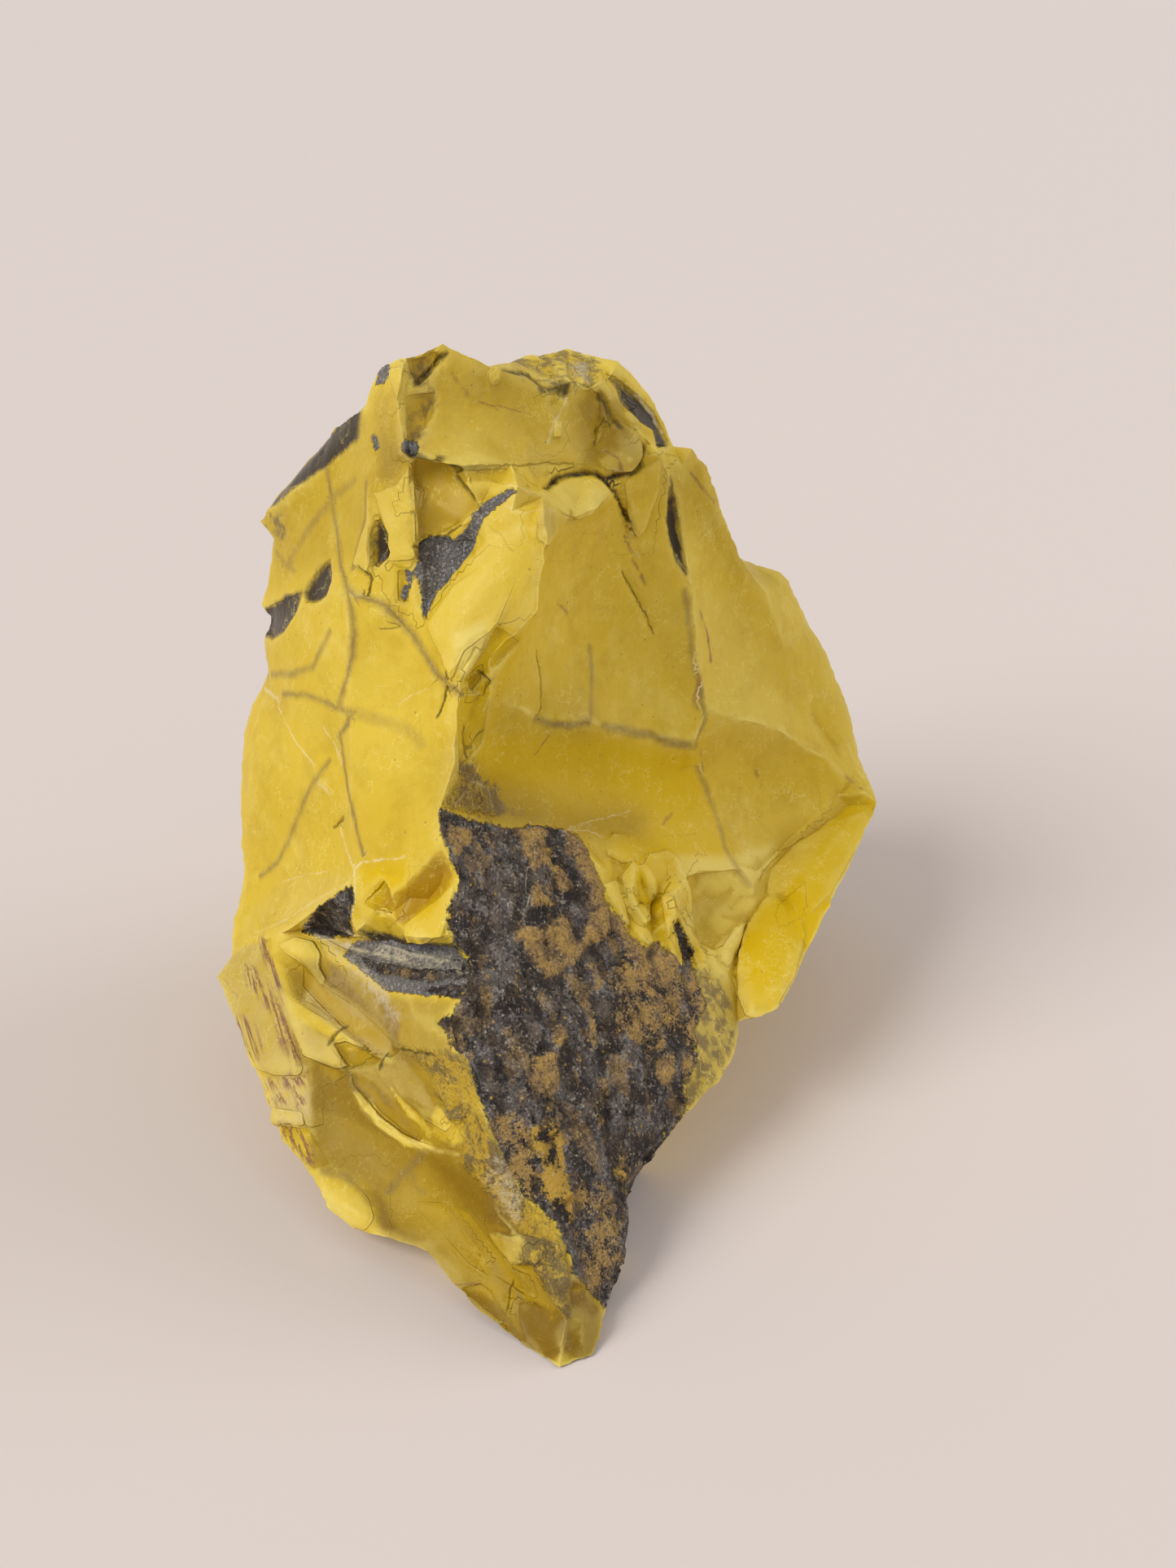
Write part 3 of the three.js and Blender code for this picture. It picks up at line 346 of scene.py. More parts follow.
RIND_PATCHES = (
    Patch(Stain.RIND, ((539, 991), (545, 1036), (554, 1062), (561, 1076), (562, 1090), (555, 1115),
        (552, 1138), (558, 1154), (577, 1179), (578, 1197), (571, 1215), (563, 1232), (553, 1250),
        (536, 1256), (545, 1265), (558, 1291), (573, 1295), (580, 1310), (587, 1345), (598, 1375),
        (618, 1420), (645, 1470), (680, 1500), (695, 1535), (704, 1562), (720, 1579), (742, 1609),
        (775, 1630), (805, 1480), (818, 1408), (836, 1380), (846, 1364), (840, 1335), (858, 1300),
        (850, 1268), (868, 1236), (857, 1204), (848, 1168), (828, 1132), (836, 1160), (840, 1186),
        (832, 1180), (816, 1169), (808, 1158), (793, 1164), (775, 1150), (765, 1136), (752, 1120),
        (742, 1102), (739, 1087), (731, 1062), (722, 1042), (708, 1026), (692, 1018), (652, 1013),
        (627, 1017), (606, 1012), (581, 1007), (560, 999))),
    Patch(Stain.RIND, ((369, 1146), (388, 1120), (407, 1103), (432, 1086), (436, 1106),
        (431, 1128), (434, 1150), (396, 1152))),
    Patch(Stain.MINERAL, ((431, 1152), (485, 1157), (558, 1165), (577, 1184), (577, 1215),
        (561, 1226), (508, 1222), (477, 1218), (454, 1199), (420, 1176))),
    Patch(Stain.RIND, ((436, 1172), (470, 1184), (520, 1188), (560, 1184), (577, 1180),
        (577, 1200), (540, 1206), (500, 1204), (462, 1196))),
    Patch(Stain.RIND, ((520, 1216), (545, 1208), (577, 1212), (561, 1230), (540, 1226))),
    Patch(Stain.TAN, ((552, 1013), (578, 1021), (582, 1035), (568, 1046), (558, 1054),
        (551, 1036))),
    Patch(Stain.TAN, ((630, 1014), (673, 1018), (673, 1039), (683, 1062), (703, 1082), (706, 1092),
        (693, 1097), (680, 1072), (668, 1064), (657, 1067), (645, 1046))),
    Patch(Stain.TAN, ((660, 1082), (673, 1097), (680, 1110), (657, 1115), (650, 1112),
        (655, 1092))),
    Patch(Stain.TAN, ((691, 1017), (715, 1031), (733, 1062), (743, 1102), (752, 1123), (750, 1146),
        (731, 1159), (709, 1179), (688, 1192), (673, 1204), (663, 1192), (647, 1169), (637, 1146),
        (640, 1138), (663, 1138), (678, 1138), (693, 1125), (701, 1138), (709, 1159), (724, 1133),
        (729, 1118), (719, 1087), (706, 1059), (693, 1036))),
    Patch(Stain.TAN, ((722, 1188), (727, 1182), (736, 1182), (733, 1188))),
    Patch(Stain.TAN, ((730, 1216), (733, 1207), (739, 1206), (736, 1217))),
    Patch(Stain.TAN, ((716, 1236), (720, 1230), (727, 1231), (724, 1237))),
    Patch(Stain.TAN, ((657, 1299), (670, 1292), (683, 1294), (688, 1324), (680, 1350), (663, 1347),
        (655, 1325))),
    Patch(Stain.TAN, ((673, 1268), (693, 1255), (701, 1273), (688, 1284))),
    Patch(Stain.TAN, ((811, 1299), (828, 1294), (831, 1319), (816, 1334), (806, 1318))),
    Patch(Stain.TAN, ((722, 1262), (731, 1250), (735, 1282), (728, 1292))),
    Patch(Stain.GOLD, ((657, 1385), (687, 1382), (697, 1404), (695, 1439), (707, 1474),
        (702, 1506), (687, 1494), (670, 1472), (662, 1449), (667, 1429), (657, 1407))),
    Patch(Stain.TAN, ((700, 1022), (730, 1040), (752, 1100), (790, 1150), (816, 1166), (830, 1190),
        (822, 1216), (790, 1200), (757, 1150), (735, 1080), (715, 1045))),
    Patch(Stain.GOLD, ((842, 1373), (852, 1364), (870, 1352), (860, 1372), (834, 1385),
        (826, 1400), (818, 1402))),
    Patch(Stain.GOLD, ((758, 1440), (764, 1432), (776, 1436), (764, 1452))),
    Patch(Stain.BROWN, ((754, 1197), (775, 1170), (811, 1160), (836, 1194), (853, 1225),
        (851, 1255), (823, 1279), (795, 1300), (780, 1281), (754, 1240))),
    Patch(Stain.BROWN, ((846, 1180), (880, 1200), (900, 1230), (910, 1262), (888, 1310),
        (852, 1366), (840, 1360))),
    Patch(Stain.BROWN, ((700, 1440), (730, 1450), (757, 1480), (762, 1540), (745, 1590),
        (728, 1585), (712, 1540), (705, 1490))),
    Patch(Stain.BROWN, ((600, 1380), (640, 1370), (660, 1400), (668, 1450), (650, 1480),
        (620, 1430))),
)

MINERAL_PATCHES = (
    Patch(Stain.MINERAL, ((517, 668), (533, 660), (550, 659), (561, 666), (583, 665), (574, 681),
        (555, 703), (539, 725), (527, 750), (521, 761), (517, 747), (514, 717), (509, 703),
        (514, 681))),
    Patch(Stain.MINERAL, ((561, 664), (572, 651), (580, 632), (599, 613), (629, 598), (637, 603),
        (612, 622), (592, 640), (583, 665))),
    Patch(Stain.MINERAL, ((495, 700), (506, 704), (506, 714), (500, 731), (498, 743), (489, 736),
        (491, 725), (498, 714))),
    Patch(Stain.MINERAL, ((492, 545), (500, 536), (511, 540), (514, 556), (503, 562), (494, 556))),
    Patch(Stain.MINERAL, ((455, 533), (462, 532), (465, 552), (459, 560))),
    Patch(Stain.MINERAL, ((461, 446), (474, 444), (482, 452), (472, 470), (462, 474))),
    Patch(Stain.BROWN, ((540, 991), (560, 960), (572, 934), (583, 942), (612, 966), (640, 1000),
        (599, 1004), (570, 1000))),
    Patch(Stain.CRUMB, ((540, 991), (560, 960), (572, 938), (583, 946), (608, 968), (612, 1000),
        (570, 1000))),
    Patch(Stain.SMOKE, ((459, 640), (467, 639), (473, 657), (476, 681), (472, 688), (462, 695),
        (456, 698), (455, 681), (456, 659))),
    Patch(Stain.SMOKE, ((404, 687), (405, 711), (399, 731), (388, 739), (374, 740), (373, 728),
        (382, 709), (393, 695))),
    Patch(Stain.SMOKE, ((371, 725), (366, 736), (360, 755), (347, 775), (333, 786), (318, 782),
        (318, 764), (316, 750), (332, 744), (349, 731))),
    Patch(Stain.SMOKE, ((747, 453), (762, 475), (769, 491), (787, 516), (806, 528), (809, 547),
        (819, 550), (825, 544), (816, 528), (803, 503), (784, 484), (762, 466))),
    Patch(Stain.SMOKE, ((825, 584), (830, 600), (836, 634), (839, 666), (841, 681), (847, 706),
        (843, 708), (831, 691), (823, 666), (819, 644), (822, 612))),
    Patch(Stain.SMOKE, ((336, 615), (380, 563), (407, 530), (424, 505), (446, 496), (440, 540),
        (402, 574), (363, 599), (338, 621), (320, 628))),
    Patch(Stain.SMOKE, ((439, 1142), (477, 1146), (508, 1156), (569, 1160), (566, 1172),
        (508, 1168), (454, 1156))),
    Patch(Stain.BROWN, ((323, 634), (350, 632), (352, 650), (344, 662), (325, 662))),
    Patch(Stain.BROWN, ((619, 450), (628, 437), (647, 430), (672, 426), (700, 424), (725, 430),
        (738, 448), (725, 472), (703, 481), (687, 478), (663, 469), (641, 459))),
    Patch(Stain.BROWN, ((500, 440), (520, 434), (533, 440), (528, 462), (516, 480), (503, 470))),
    Patch(Stain.BROWN, ((522, 488), (535, 484), (534, 506), (520, 530), (512, 545), (505, 530))),
)

STREAK_PATCHES = (
    Patch(Stain.PURPLE, ((317, 1150), (326, 1152), (338, 1180), (346, 1214), (336, 1214),
        (326, 1192))),
    Patch(Stain.PURPLE, ((300, 1184), (312, 1188), (334, 1222), (350, 1252), (356, 1268),
        (346, 1264), (322, 1232), (303, 1208))),
    Patch(Stain.PURPLE, ((338, 1226), (352, 1250), (364, 1278), (375, 1310), (366, 1312),
        (348, 1284), (337, 1254))),
    Patch(Stain.PURPLE, ((280, 1250), (300, 1248), (314, 1262), (328, 1292), (318, 1302),
        (303, 1298), (288, 1272))),
    Patch(Stain.PURPLE, ((324, 1326), (340, 1322), (343, 1336), (326, 1342))),
    Patch(Stain.PURPLE, ((348, 1322), (378, 1318), (378, 1336), (350, 1338))),
    Patch(Stain.PURPLE, ((360, 1340), (371, 1340), (376, 1362), (366, 1360))),
    Patch(Stain.PURPLE, ((338, 1344), (352, 1344), (352, 1355), (340, 1355))),
    Patch(Stain.PURPLE, ((324, 1352), (338, 1352), (340, 1364), (328, 1364))),
    Patch(Stain.PURPLE, ((345, 1382), (362, 1382), (384, 1412), (396, 1430), (386, 1438),
        (363, 1414), (346, 1400))),
)

TONE_PATCHES = (
    Patch(Stain.DUST, ((397, 1153), (431, 1153), (504, 1168), (560, 1176), (560, 1192),
        (500, 1186), (431, 1172), (398, 1160))),
    Patch(Stain.DUST, ((596, 1420), (620, 1418), (642, 1470), (642, 1502), (618, 1490),
        (600, 1450))),
    Patch(Stain.DUST, ((405, 1169), (440, 1180), (480, 1225), (500, 1250), (485, 1256),
        (440, 1205))),
    Patch(Stain.GREY, ((850, 1190), (915, 1200), (925, 1258), (890, 1320), (840, 1380),
        (840, 1300))),
    Patch(Stain.DUST, ((755, 1140), (766, 1132), (772, 1150), (760, 1165), (745, 1172))),
    Patch(Stain.DUST, ((690, 455), (706, 446), (726, 452), (720, 470), (700, 474))),
    Patch(Stain.CRUMB, ((485, 1280), (508, 1289), (573, 1295), (584, 1330), (592, 1368),
        (607, 1398), (623, 1425), (640, 1470), (675, 1498), (697, 1535), (697, 1560), (660, 1540),
        (607, 1475), (584, 1444), (565, 1429), (569, 1391), (539, 1345), (527, 1314))),
    Patch(Stain.CRUMB, ((645, 1515), (672, 1520), (700, 1575), (697, 1620), (672, 1588),
        (650, 1550))),
    Patch(Stain.AMBER, ((543, 1040), (553, 1062), (561, 1078), (544, 1101), (517, 1120),
        (495, 1139), (482, 1132), (484, 1104), (509, 1079), (530, 1052))),
    Patch(Stain.AMBER, ((456, 1120), (472, 1080), (478, 1120))),
    Patch(Stain.VIVID, ((595, 900), (760, 905), (850, 925), (905, 1060), (930, 1110), (960, 1095),
        (1040, 985), (1085, 975), (1050, 1060), (960, 1255), (905, 1250), (870, 1200), (800, 1160),
        (740, 1030), (600, 1003), (572, 940))),
    Patch(Stain.VIVID, ((524, 768), (560, 715), (610, 670), (660, 640), (668, 700), (640, 800),
        (600, 900), (566, 930), (556, 838))),
    Patch(Stain.VIVID, ((440, 1060), (500, 1050), (560, 1084), (548, 1150), (500, 1154),
        (440, 1120))),
)

PATCHES = RIND_PATCHES + MINERAL_PATCHES + STREAK_PATCHES + TONE_PATCHES

# Painted light, shade and sheen of the facets of the lower left, from the strip along its
# edge down to the toe; their darkness is partly the jasper's own deeper tone.
LOWER_TINTS = (
    Tint(-0.66, 0.0, 1.0, ((345, 1180), (400, 1180), (490, 1290), (600, 1380), (640, 1480),
        (740, 1600), (740, 1680), (640, 1670), (500, 1550), (376, 1430), (378, 1300))),
    Tint(-0.3, 0.1, 1.5, ((600, 1400), (640, 1440), (700, 1540), (720, 1590), (690, 1590),
        (610, 1500))),
    Tint(-0.35, 0.4, 0.3, ((262, 1198), (300, 1162), (322, 1156), (345, 1205), (378, 1300),
        (378, 1322), (330, 1322), (300, 1290), (276, 1240))),
    Tint(0.0, 0.7, 0.4, ((318, 1324), (378, 1320), (384, 1384), (342, 1384))),
    Tint(-0.1, 0.15, 1.0, ((283, 1175), (305, 1120), (345, 1085), (434, 1070), (432, 1087),
        (372, 1131), (320, 1153), (301, 1157))),
    Tint(-0.05, 0.0, 0.2, ((336, 1164), (352, 1154), (366, 1168), (384, 1188), (402, 1212),
        (430, 1240), (400, 1250), (372, 1234), (346, 1222), (341, 1195))),
    Tint(0.15, 0.5, 0.4, ((384, 1200), (402, 1212), (440, 1238), (478, 1282), (470, 1300),
        (440, 1286), (400, 1256), (372, 1232))),
    Tint(0.65, 0.0, 0.2, ((346, 1222), (372, 1236), (402, 1256), (440, 1284), (425, 1292),
        (412, 1276), (380, 1262), (360, 1246))),
    Tint(0.35, 0.4, 0.3, ((358, 1248), (380, 1262), (410, 1278), (420, 1300), (430, 1312),
        (400, 1304), (378, 1302), (366, 1275))),
    Tint(-0.1, 0.0, 0.2, ((377, 1304), (400, 1303), (428, 1316), (440, 1350), (460, 1372),
        (500, 1408), (480, 1400), (430, 1375), (378, 1360))),
    Tint(0.0, 0.05, 2.0, ((384, 1380), (440, 1390), (500, 1430), (480, 1465), (430, 1440),
        (385, 1420))),
    Tint(0.15, 0.0, 1.5, ((470, 1470), (520, 1440), (560, 1500), (600, 1560), (640, 1610),
        (600, 1600), (530, 1530))),
    Tint(-0.15, 0.0, 1.0, ((530, 1424), (580, 1440), (640, 1510), (620, 1530), (570, 1480))),
    Tint(0.5, 0.0, 1.2, ((388, 1440), (420, 1446), (446, 1458), (460, 1482), (462, 1505),
        (430, 1512), (405, 1505), (395, 1475))),
    Tint(-0.2, 0.0, 0.4, ((400, 1438), (430, 1446), (470, 1470), (480, 1500), (500, 1520),
        (466, 1508), (462, 1484), (446, 1456))),
    Tint(-0.25, 0.0, 0.2, ((638, 1602), (660, 1600), (690, 1615), (697, 1630), (694, 1660),
        (676, 1672), (655, 1660), (644, 1640))),
    Tint(-0.25, 0.0, 0.2, ((697, 1570), (720, 1595), (742, 1615), (735, 1655), (715, 1676),
        (697, 1660))),
    Tint(0.3, 0.3, 0.2, ((668, 1500), (690, 1530), (697, 1575), (697, 1600), (680, 1570),
        (664, 1545))),
    Tint(0.3, 0.0, 0.2, ((604, 1514), (640, 1520), (664, 1524), (662, 1548), (630, 1548),
        (612, 1530))),
    Tint(-0.2, 0.0, 0.3, ((563, 1584), (600, 1590), (640, 1640), (690, 1678), (650, 1672),
        (600, 1635))),
    Tint(0.1, 0.25, 0.2, ((432, 1318), (470, 1308), (495, 1300), (520, 1330), (530, 1350),
        (545, 1372), (500, 1345), (478, 1352), (455, 1330))),
    Tint(-0.1, 0.2, 0.2, ((434, 1330), (455, 1332), (478, 1354), (500, 1385), (520, 1404),
        (490, 1394), (455, 1360))),
    # Painted highlights along the bright rim of the dish.
    Tint(1.1, 0.0, 0.12, ((436, 1342), (446, 1350), (470, 1378), (500, 1400), (540, 1412),
        (498, 1408), (466, 1385), (440, 1353))),
    Tint(1.1, 0.0, 0.12, ((478, 1338), (500, 1362), (520, 1384), (550, 1404), (520, 1391),
        (494, 1368))),
    Tint(0.6, 0.0, 0.3, ((540, 1360), (570, 1372), (578, 1400), (560, 1406), (530, 1390))),
)

# Painted light, shade and sheen of the facets of the crown, the flakes below it and the big scar.
UPPER_TINTS = (
    Tint(-0.75, 0.0, 2.0, ((712, 490), (735, 470), (770, 500), (790, 545), (785, 572),
        (712, 580))),
    Tint(-0.15, 0.15, 1.8, ((500, 440), (535, 440), (530, 500), (520, 560), (500, 560))),
    Tint(-0.3, 0.1, 2.0, ((500, 430), (700, 470), (700, 580), (500, 575))),
    Tint(0.3, 0.0, 0.25, ((620, 602), (664, 604), (680, 596), (700, 586), (730, 584), (745, 594),
        (750, 607), (722, 630), (705, 637), (690, 633), (668, 618), (640, 630), (622, 620))),
    Tint(-0.4, 0.2, 0.2, ((664, 626), (682, 628), (680, 650), (668, 664), (661, 656))),
    Tint(0.25, 0.0, 0.3, ((560, 592), (640, 580), (640, 596), (600, 612), (584, 620))),
    Tint(-0.2, 0.3, 0.4, ((506, 580), (558, 592), (584, 626), (560, 646), (514, 664))),
    Tint(-0.3, 0.1, 1.0, ((462, 480), (488, 476), (500, 560), (488, 600), (466, 590))),
    Tint(-0.35, 0.0, 3.0, ((300, 640), (440, 480), (500, 560), (460, 700), (330, 720))),
    Tint(0.35, 0.0, 0.3, ((530, 770), (560, 715), (600, 660), (640, 640), (668, 690), (664, 730),
        (644, 776), (612, 768), (572, 838), (545, 812))),
    Tint(-0.35, 0.0, 2.0, ((800, 560), (870, 560), (900, 660), (960, 720), (840, 720),
        (815, 640))),
    Tint(-0.3, 0.0, 5.0, ((590, 820), (720, 820), (770, 900), (790, 1010), (640, 1012),
        (575, 1000), (565, 940))),
    Tint(-0.45, 0.0, 3.0, ((560, 930), (610, 965), (690, 990), (790, 1000), (800, 1040),
        (700, 1040), (572, 1020))),
    Tint(-0.45, 0.0, 2.0, ((1000, 740), (1080, 820), (1100, 960), (1050, 880))),
    Tint(0.55, 0.0, 1.0, ((826, 1050), (900, 1050), (960, 1030), (940, 1100), (910, 1160),
        (900, 1210), (870, 1200), (834, 1120))),
    Tint(0.25, 0.0, 0.6, ((940, 1105), (965, 1050), (1030, 995), (1000, 1060), (960, 1110))),
    Tint(0.3, 0.0, 4.0, ((830, 640), (900, 700), (960, 800), (980, 960), (860, 900))),
    Tint(0.4, 0.0, 0.3, ((830, 1100), (812, 1104), (824, 1130), (836, 1190), (852, 1200),
        (850, 1160))),
    Tint(0.4, 0.0, 0.5, ((560, 780), (600, 760), (596, 810), (566, 840))),
    Tint(-0.5, 0.1, 0.8, ((470, 1222), (561, 1228), (546, 1253), (560, 1290), (584, 1330),
        (560, 1340), (480, 1290))),
    Tint(-0.6, 0.3, 0.6, ((400, 1180), (430, 1190), (470, 1222), (490, 1260), (486, 1280),
        (440, 1235), (405, 1208))),
)

TINTS = LOWER_TINTS + UPPER_TINTS

# Flake scars and standing flakes of the lower left, from the lip down to the toe.
LOWER_CHIPS = (
    Chip(((343, 1160, 2), (365, 1152, 5), (388, 1158, 6), (397, 1173, 6), (396, 1190, 7),
        (405, 1208, 5), (396, 1212, 5), (383, 1195, 6), (368, 1182, 5), (352, 1172, 3)), 0.3),
    Chip(((372, 1184, -2), (400, 1214, -2), (440, 1240, -1), (486, 1284, 0), (491, 1292, -3),
        (478, 1301, -7), (455, 1292, -6), (420, 1262, -5), (398, 1240, -4), (372, 1212, -3)),
        -0.2),
    Chip(((345, 1222, 0), (372, 1236, 1), (400, 1252, 2), (440, 1281, 2), (468, 1303, 1),
        (430, 1314, 3), (412, 1312, 5), (376, 1300, 6), (362, 1268, 3)), 0.2),
    Chip(((413, 1284, -3), (424, 1280, -9), (448, 1290, -9), (469, 1304, -3), (448, 1310, -9),
        (426, 1311, -11)), -0.2),
    Chip(((432, 1314, 0), (470, 1308, -1), (500, 1312, 1), (535, 1330, 2), (558, 1362, 3),
        (572, 1392, 2), (560, 1412, 2), (532, 1408, -2), (500, 1398, -9), (470, 1378, -10),
        (446, 1352, -8), (431, 1330, -4))),
    Chip(((455, 1318, 0), (490, 1350, 3), (522, 1376, 5), (552, 1392, 5), (560, 1378, 1),
        (540, 1350, 0), (520, 1330, 0), (490, 1312, 0)), 0.2),
    Chip(((550, 1362, 4), (568, 1358, 6), (576, 1374, 6), (560, 1380, 5)), 0.2),
    Chip(((385, 1440, 0), (410, 1444, 0), (438, 1456, 1), (454, 1474, 2), (461, 1498, 3),
        (450, 1512, 3), (425, 1506, 3), (408, 1500, 2)), 0.1),
    Chip(((500, 1476, 0), (540, 1478, -2), (590, 1545, -4), (600, 1568, -3), (575, 1552, -1),
        (540, 1512, 0))),
    Chip(((545, 1476, 0), (575, 1490, -2), (612, 1540, -4), (640, 1580, -5), (655, 1600, -2),
        (600, 1562, 0), (566, 1520, 0))),
    Chip(((600, 1512, 2), (640, 1518, 7), (668, 1524, 6), (664, 1550, 8), (636, 1552, 7),
        (608, 1530, 2)), 0.1),
    Chip(((664, 1520, 5), (690, 1528, 4), (700, 1580, 3), (697, 1618, 6), (682, 1600, 5),
        (660, 1556, 7)), 0.1),
    Chip(((563, 1584, -2), (590, 1577, -3), (603, 1586, -3), (616, 1610, -2), (642, 1640, 0),
        (632, 1646, 0), (600, 1622, 0), (578, 1602, 0))),
    Chip(((639, 1602, 3), (656, 1600, 3), (682, 1614, 1), (696, 1630, 1), (692, 1654, 1),
        (668, 1664, 1), (650, 1652, 2), (640, 1628, 3)), 0.2),
)

# The strip of the far left edge, in short steps.
STRIP_CHIPS = (
    Chip(((285, 1250, 0), (345, 1246, 0), (374, 1312, 4), (372, 1322, 5), (340, 1322, 4),
        (312, 1312, 2)), 0.1),
    Chip(((330, 1360, 1), (372, 1366, 2), (378, 1384, 6), (350, 1380, 6), (334, 1384, 4)), 0.1),
    Chip(((344, 1384, -3), (378, 1388, -3), (404, 1430, -2), (384, 1436, -2))),
)

# The crown, the ledge below it and the broken rim behind.
CROWN_CHIPS = (
    Chip(((506, 566, -9), (533, 571, -11), (560, 577, -8), (586, 577, -5), (640, 574, -1),
        (664, 600, 0), (632, 598, 0), (600, 612, -3), (583, 626, -6), (560, 650, -6),
        (518, 664, -6), (512, 620, -5))),
    Chip(((566, 594, 3), (600, 590, 4), (630, 596, 1), (600, 610, 1), (586, 622, 3)), 0.1),
    Chip(((676, 494, -5), (690, 488, 4), (698, 494, 3), (696, 512, 2), (688, 522, 4),
        (690, 536, 3), (680, 540, 3), (684, 514, -4))),
    Chip(((700, 486, 1), (724, 472, -3), (740, 486, -4), (738, 530, -5), (728, 552, -2),
        (706, 556, 0)), -0.1),
    Chip(((734, 532, 1), (758, 516, 4), (784, 536, 5), (790, 560, 7), (772, 580, 6), (744, 578, 3),
        (728, 560, 0)), 0.4),
    Chip(((738, 446, 0), (750, 456, -4), (770, 492, -4), (800, 545, -4), (792, 552, 2),
        (770, 520, 2), (746, 490, 2))),
    Chip(((747, 453, -5), (763, 466, -4), (785, 484, -4), (803, 503, -4), (818, 530, -4),
        (825, 545, -3), (809, 548, -5), (804, 528, -5), (786, 516, -5), (768, 492, -5))),
    Chip(((600, 460, 3), (611, 452, 4), (617, 459, 4), (613, 470, 4), (605, 475, 4)), 0.1),
    Chip(((619, 452, 5), (648, 440, 5), (690, 444, 4), (726, 450, 4), (722, 470, 4), (703, 482, 5),
        (687, 480, 5), (662, 470, 4)), 0.2),
    Chip(((666, 456, 3), (690, 446, 5), (698, 478, 5), (682, 472, 4)), 0.1),
    Chip(((500, 440, -3), (534, 432, -3), (545, 442, -8), (528, 462, -6), (512, 476, -3)), -0.2),
    Chip(((500, 486, -2), (536, 482, -3), (532, 508, -7), (514, 536, -6), (502, 556, -4))),
)

# The column and the upper left face, where wedges of dark mineral have fallen out.
COLUMN_CHIPS = (
    Chip(((480, 456, 4), (498, 450, 3), (494, 478, 3), (489, 492, 3)), 0.1),
    Chip(((461, 606, 2), (490, 594, 4), (506, 570, 3), (511, 640, 4), (512, 688, 5), (480, 690, 3),
        (476, 650, 3)), 0.1),
    Chip(((506, 588, 3), (521, 603, 4), (519, 624, 4), (510, 628, 3)), 0.1),
    Chip(((458, 640, -3), (467, 638, -5), (474, 657, -8), (477, 682, -9), (462, 697, -8),
        (455, 692, -6), (455, 660, -5)), -0.2),
    Chip(((452, 600, 1), (452, 640, 3), (445, 662, 3), (436, 694, 4), (452, 706, 5), (456, 690, 2),
        (456, 640, 1))),
    Chip(((516, 668, -6), (533, 660, -6), (562, 664, -4), (583, 664, -2), (574, 681, -5),
        (555, 703, -7), (539, 725, -7), (521, 762, -5), (514, 717, -3), (509, 703, -2)), -0.2),
    Chip(((488, 700, -3), (505, 703, -4), (499, 744, -5), (488, 738, -3)), -0.1),
    Chip(((404, 686, -3), (406, 711, -4), (399, 732, -4), (388, 740, -4), (373, 740, -3),
        (382, 709, -2)), -0.1),
    Chip(((372, 726, -2), (362, 752, -4), (347, 776, -4), (332, 787, -3), (318, 764, -4),
        (330, 744, -3)), -0.1),
    Chip(((440, 740, 0), (476, 744, 3), (506, 777, 3), (542, 833, 3), (520, 850, 0),
        (480, 820, 0))),
)

# The standing bulge with its pale flakes, and the edge of the left face below it.
BULGE_CHIPS = (
    Chip(((664, 606, 1), (680, 597, 1), (700, 586, 1), (730, 584, 1), (745, 594, 1), (751, 607, 2),
        (736, 620, 5), (722, 630, 6), (705, 637, 6), (690, 633, 5), (676, 620, 2)), 0.2),
    Chip(((664, 622, 5), (682, 628, 3), (684, 650, 3), (678, 661, 3), (669, 671, 5),
        (661, 661, 6)), 0.1),
    Chip(((766, 592, 3), (788, 572, 4), (812, 566, 3), (808, 604, 3), (792, 648, 5), (782, 662, 4),
        (771, 640, 5))),
    Chip(((825, 584, -3), (838, 650, -5), (847, 708, -3), (831, 691, -3), (820, 640, -4)), -0.1),
    Chip(((524, 768, 2), (560, 720, 3), (600, 690, 0), (640, 700, 0), (610, 770, 2), (572, 800, 5),
        (556, 838, 5), (540, 800, 2)), 0.2),
    Chip(((572, 838, -4), (612, 770, -4), (640, 790, -2), (622, 808, -4), (600, 832, -6),
        (584, 850, -5)), -0.2),
    Chip(((563, 852, -3), (590, 832, -5), (606, 838, -2), (598, 880, -2), (592, 915, -3),
        (566, 944, -5)), -0.1),
    Chip(((446, 1110, -1), (472, 1080, -4), (480, 1112, -12), (482, 1124, -8), (462, 1124, -9)),
        -0.2),
    Chip(((495, 1140, 3), (540, 1107, 3), (560, 1084, 2), (556, 1122, 5), (548, 1150, 7),
        (520, 1156, 6), (502, 1154, 5)), 0.1),
    Chip(((396, 1152, -2), (440, 1150, -5), (504, 1166, -6), (560, 1176, -8), (570, 1186, -6),
        (520, 1192, -4), (450, 1178, -2)), -0.2),
)

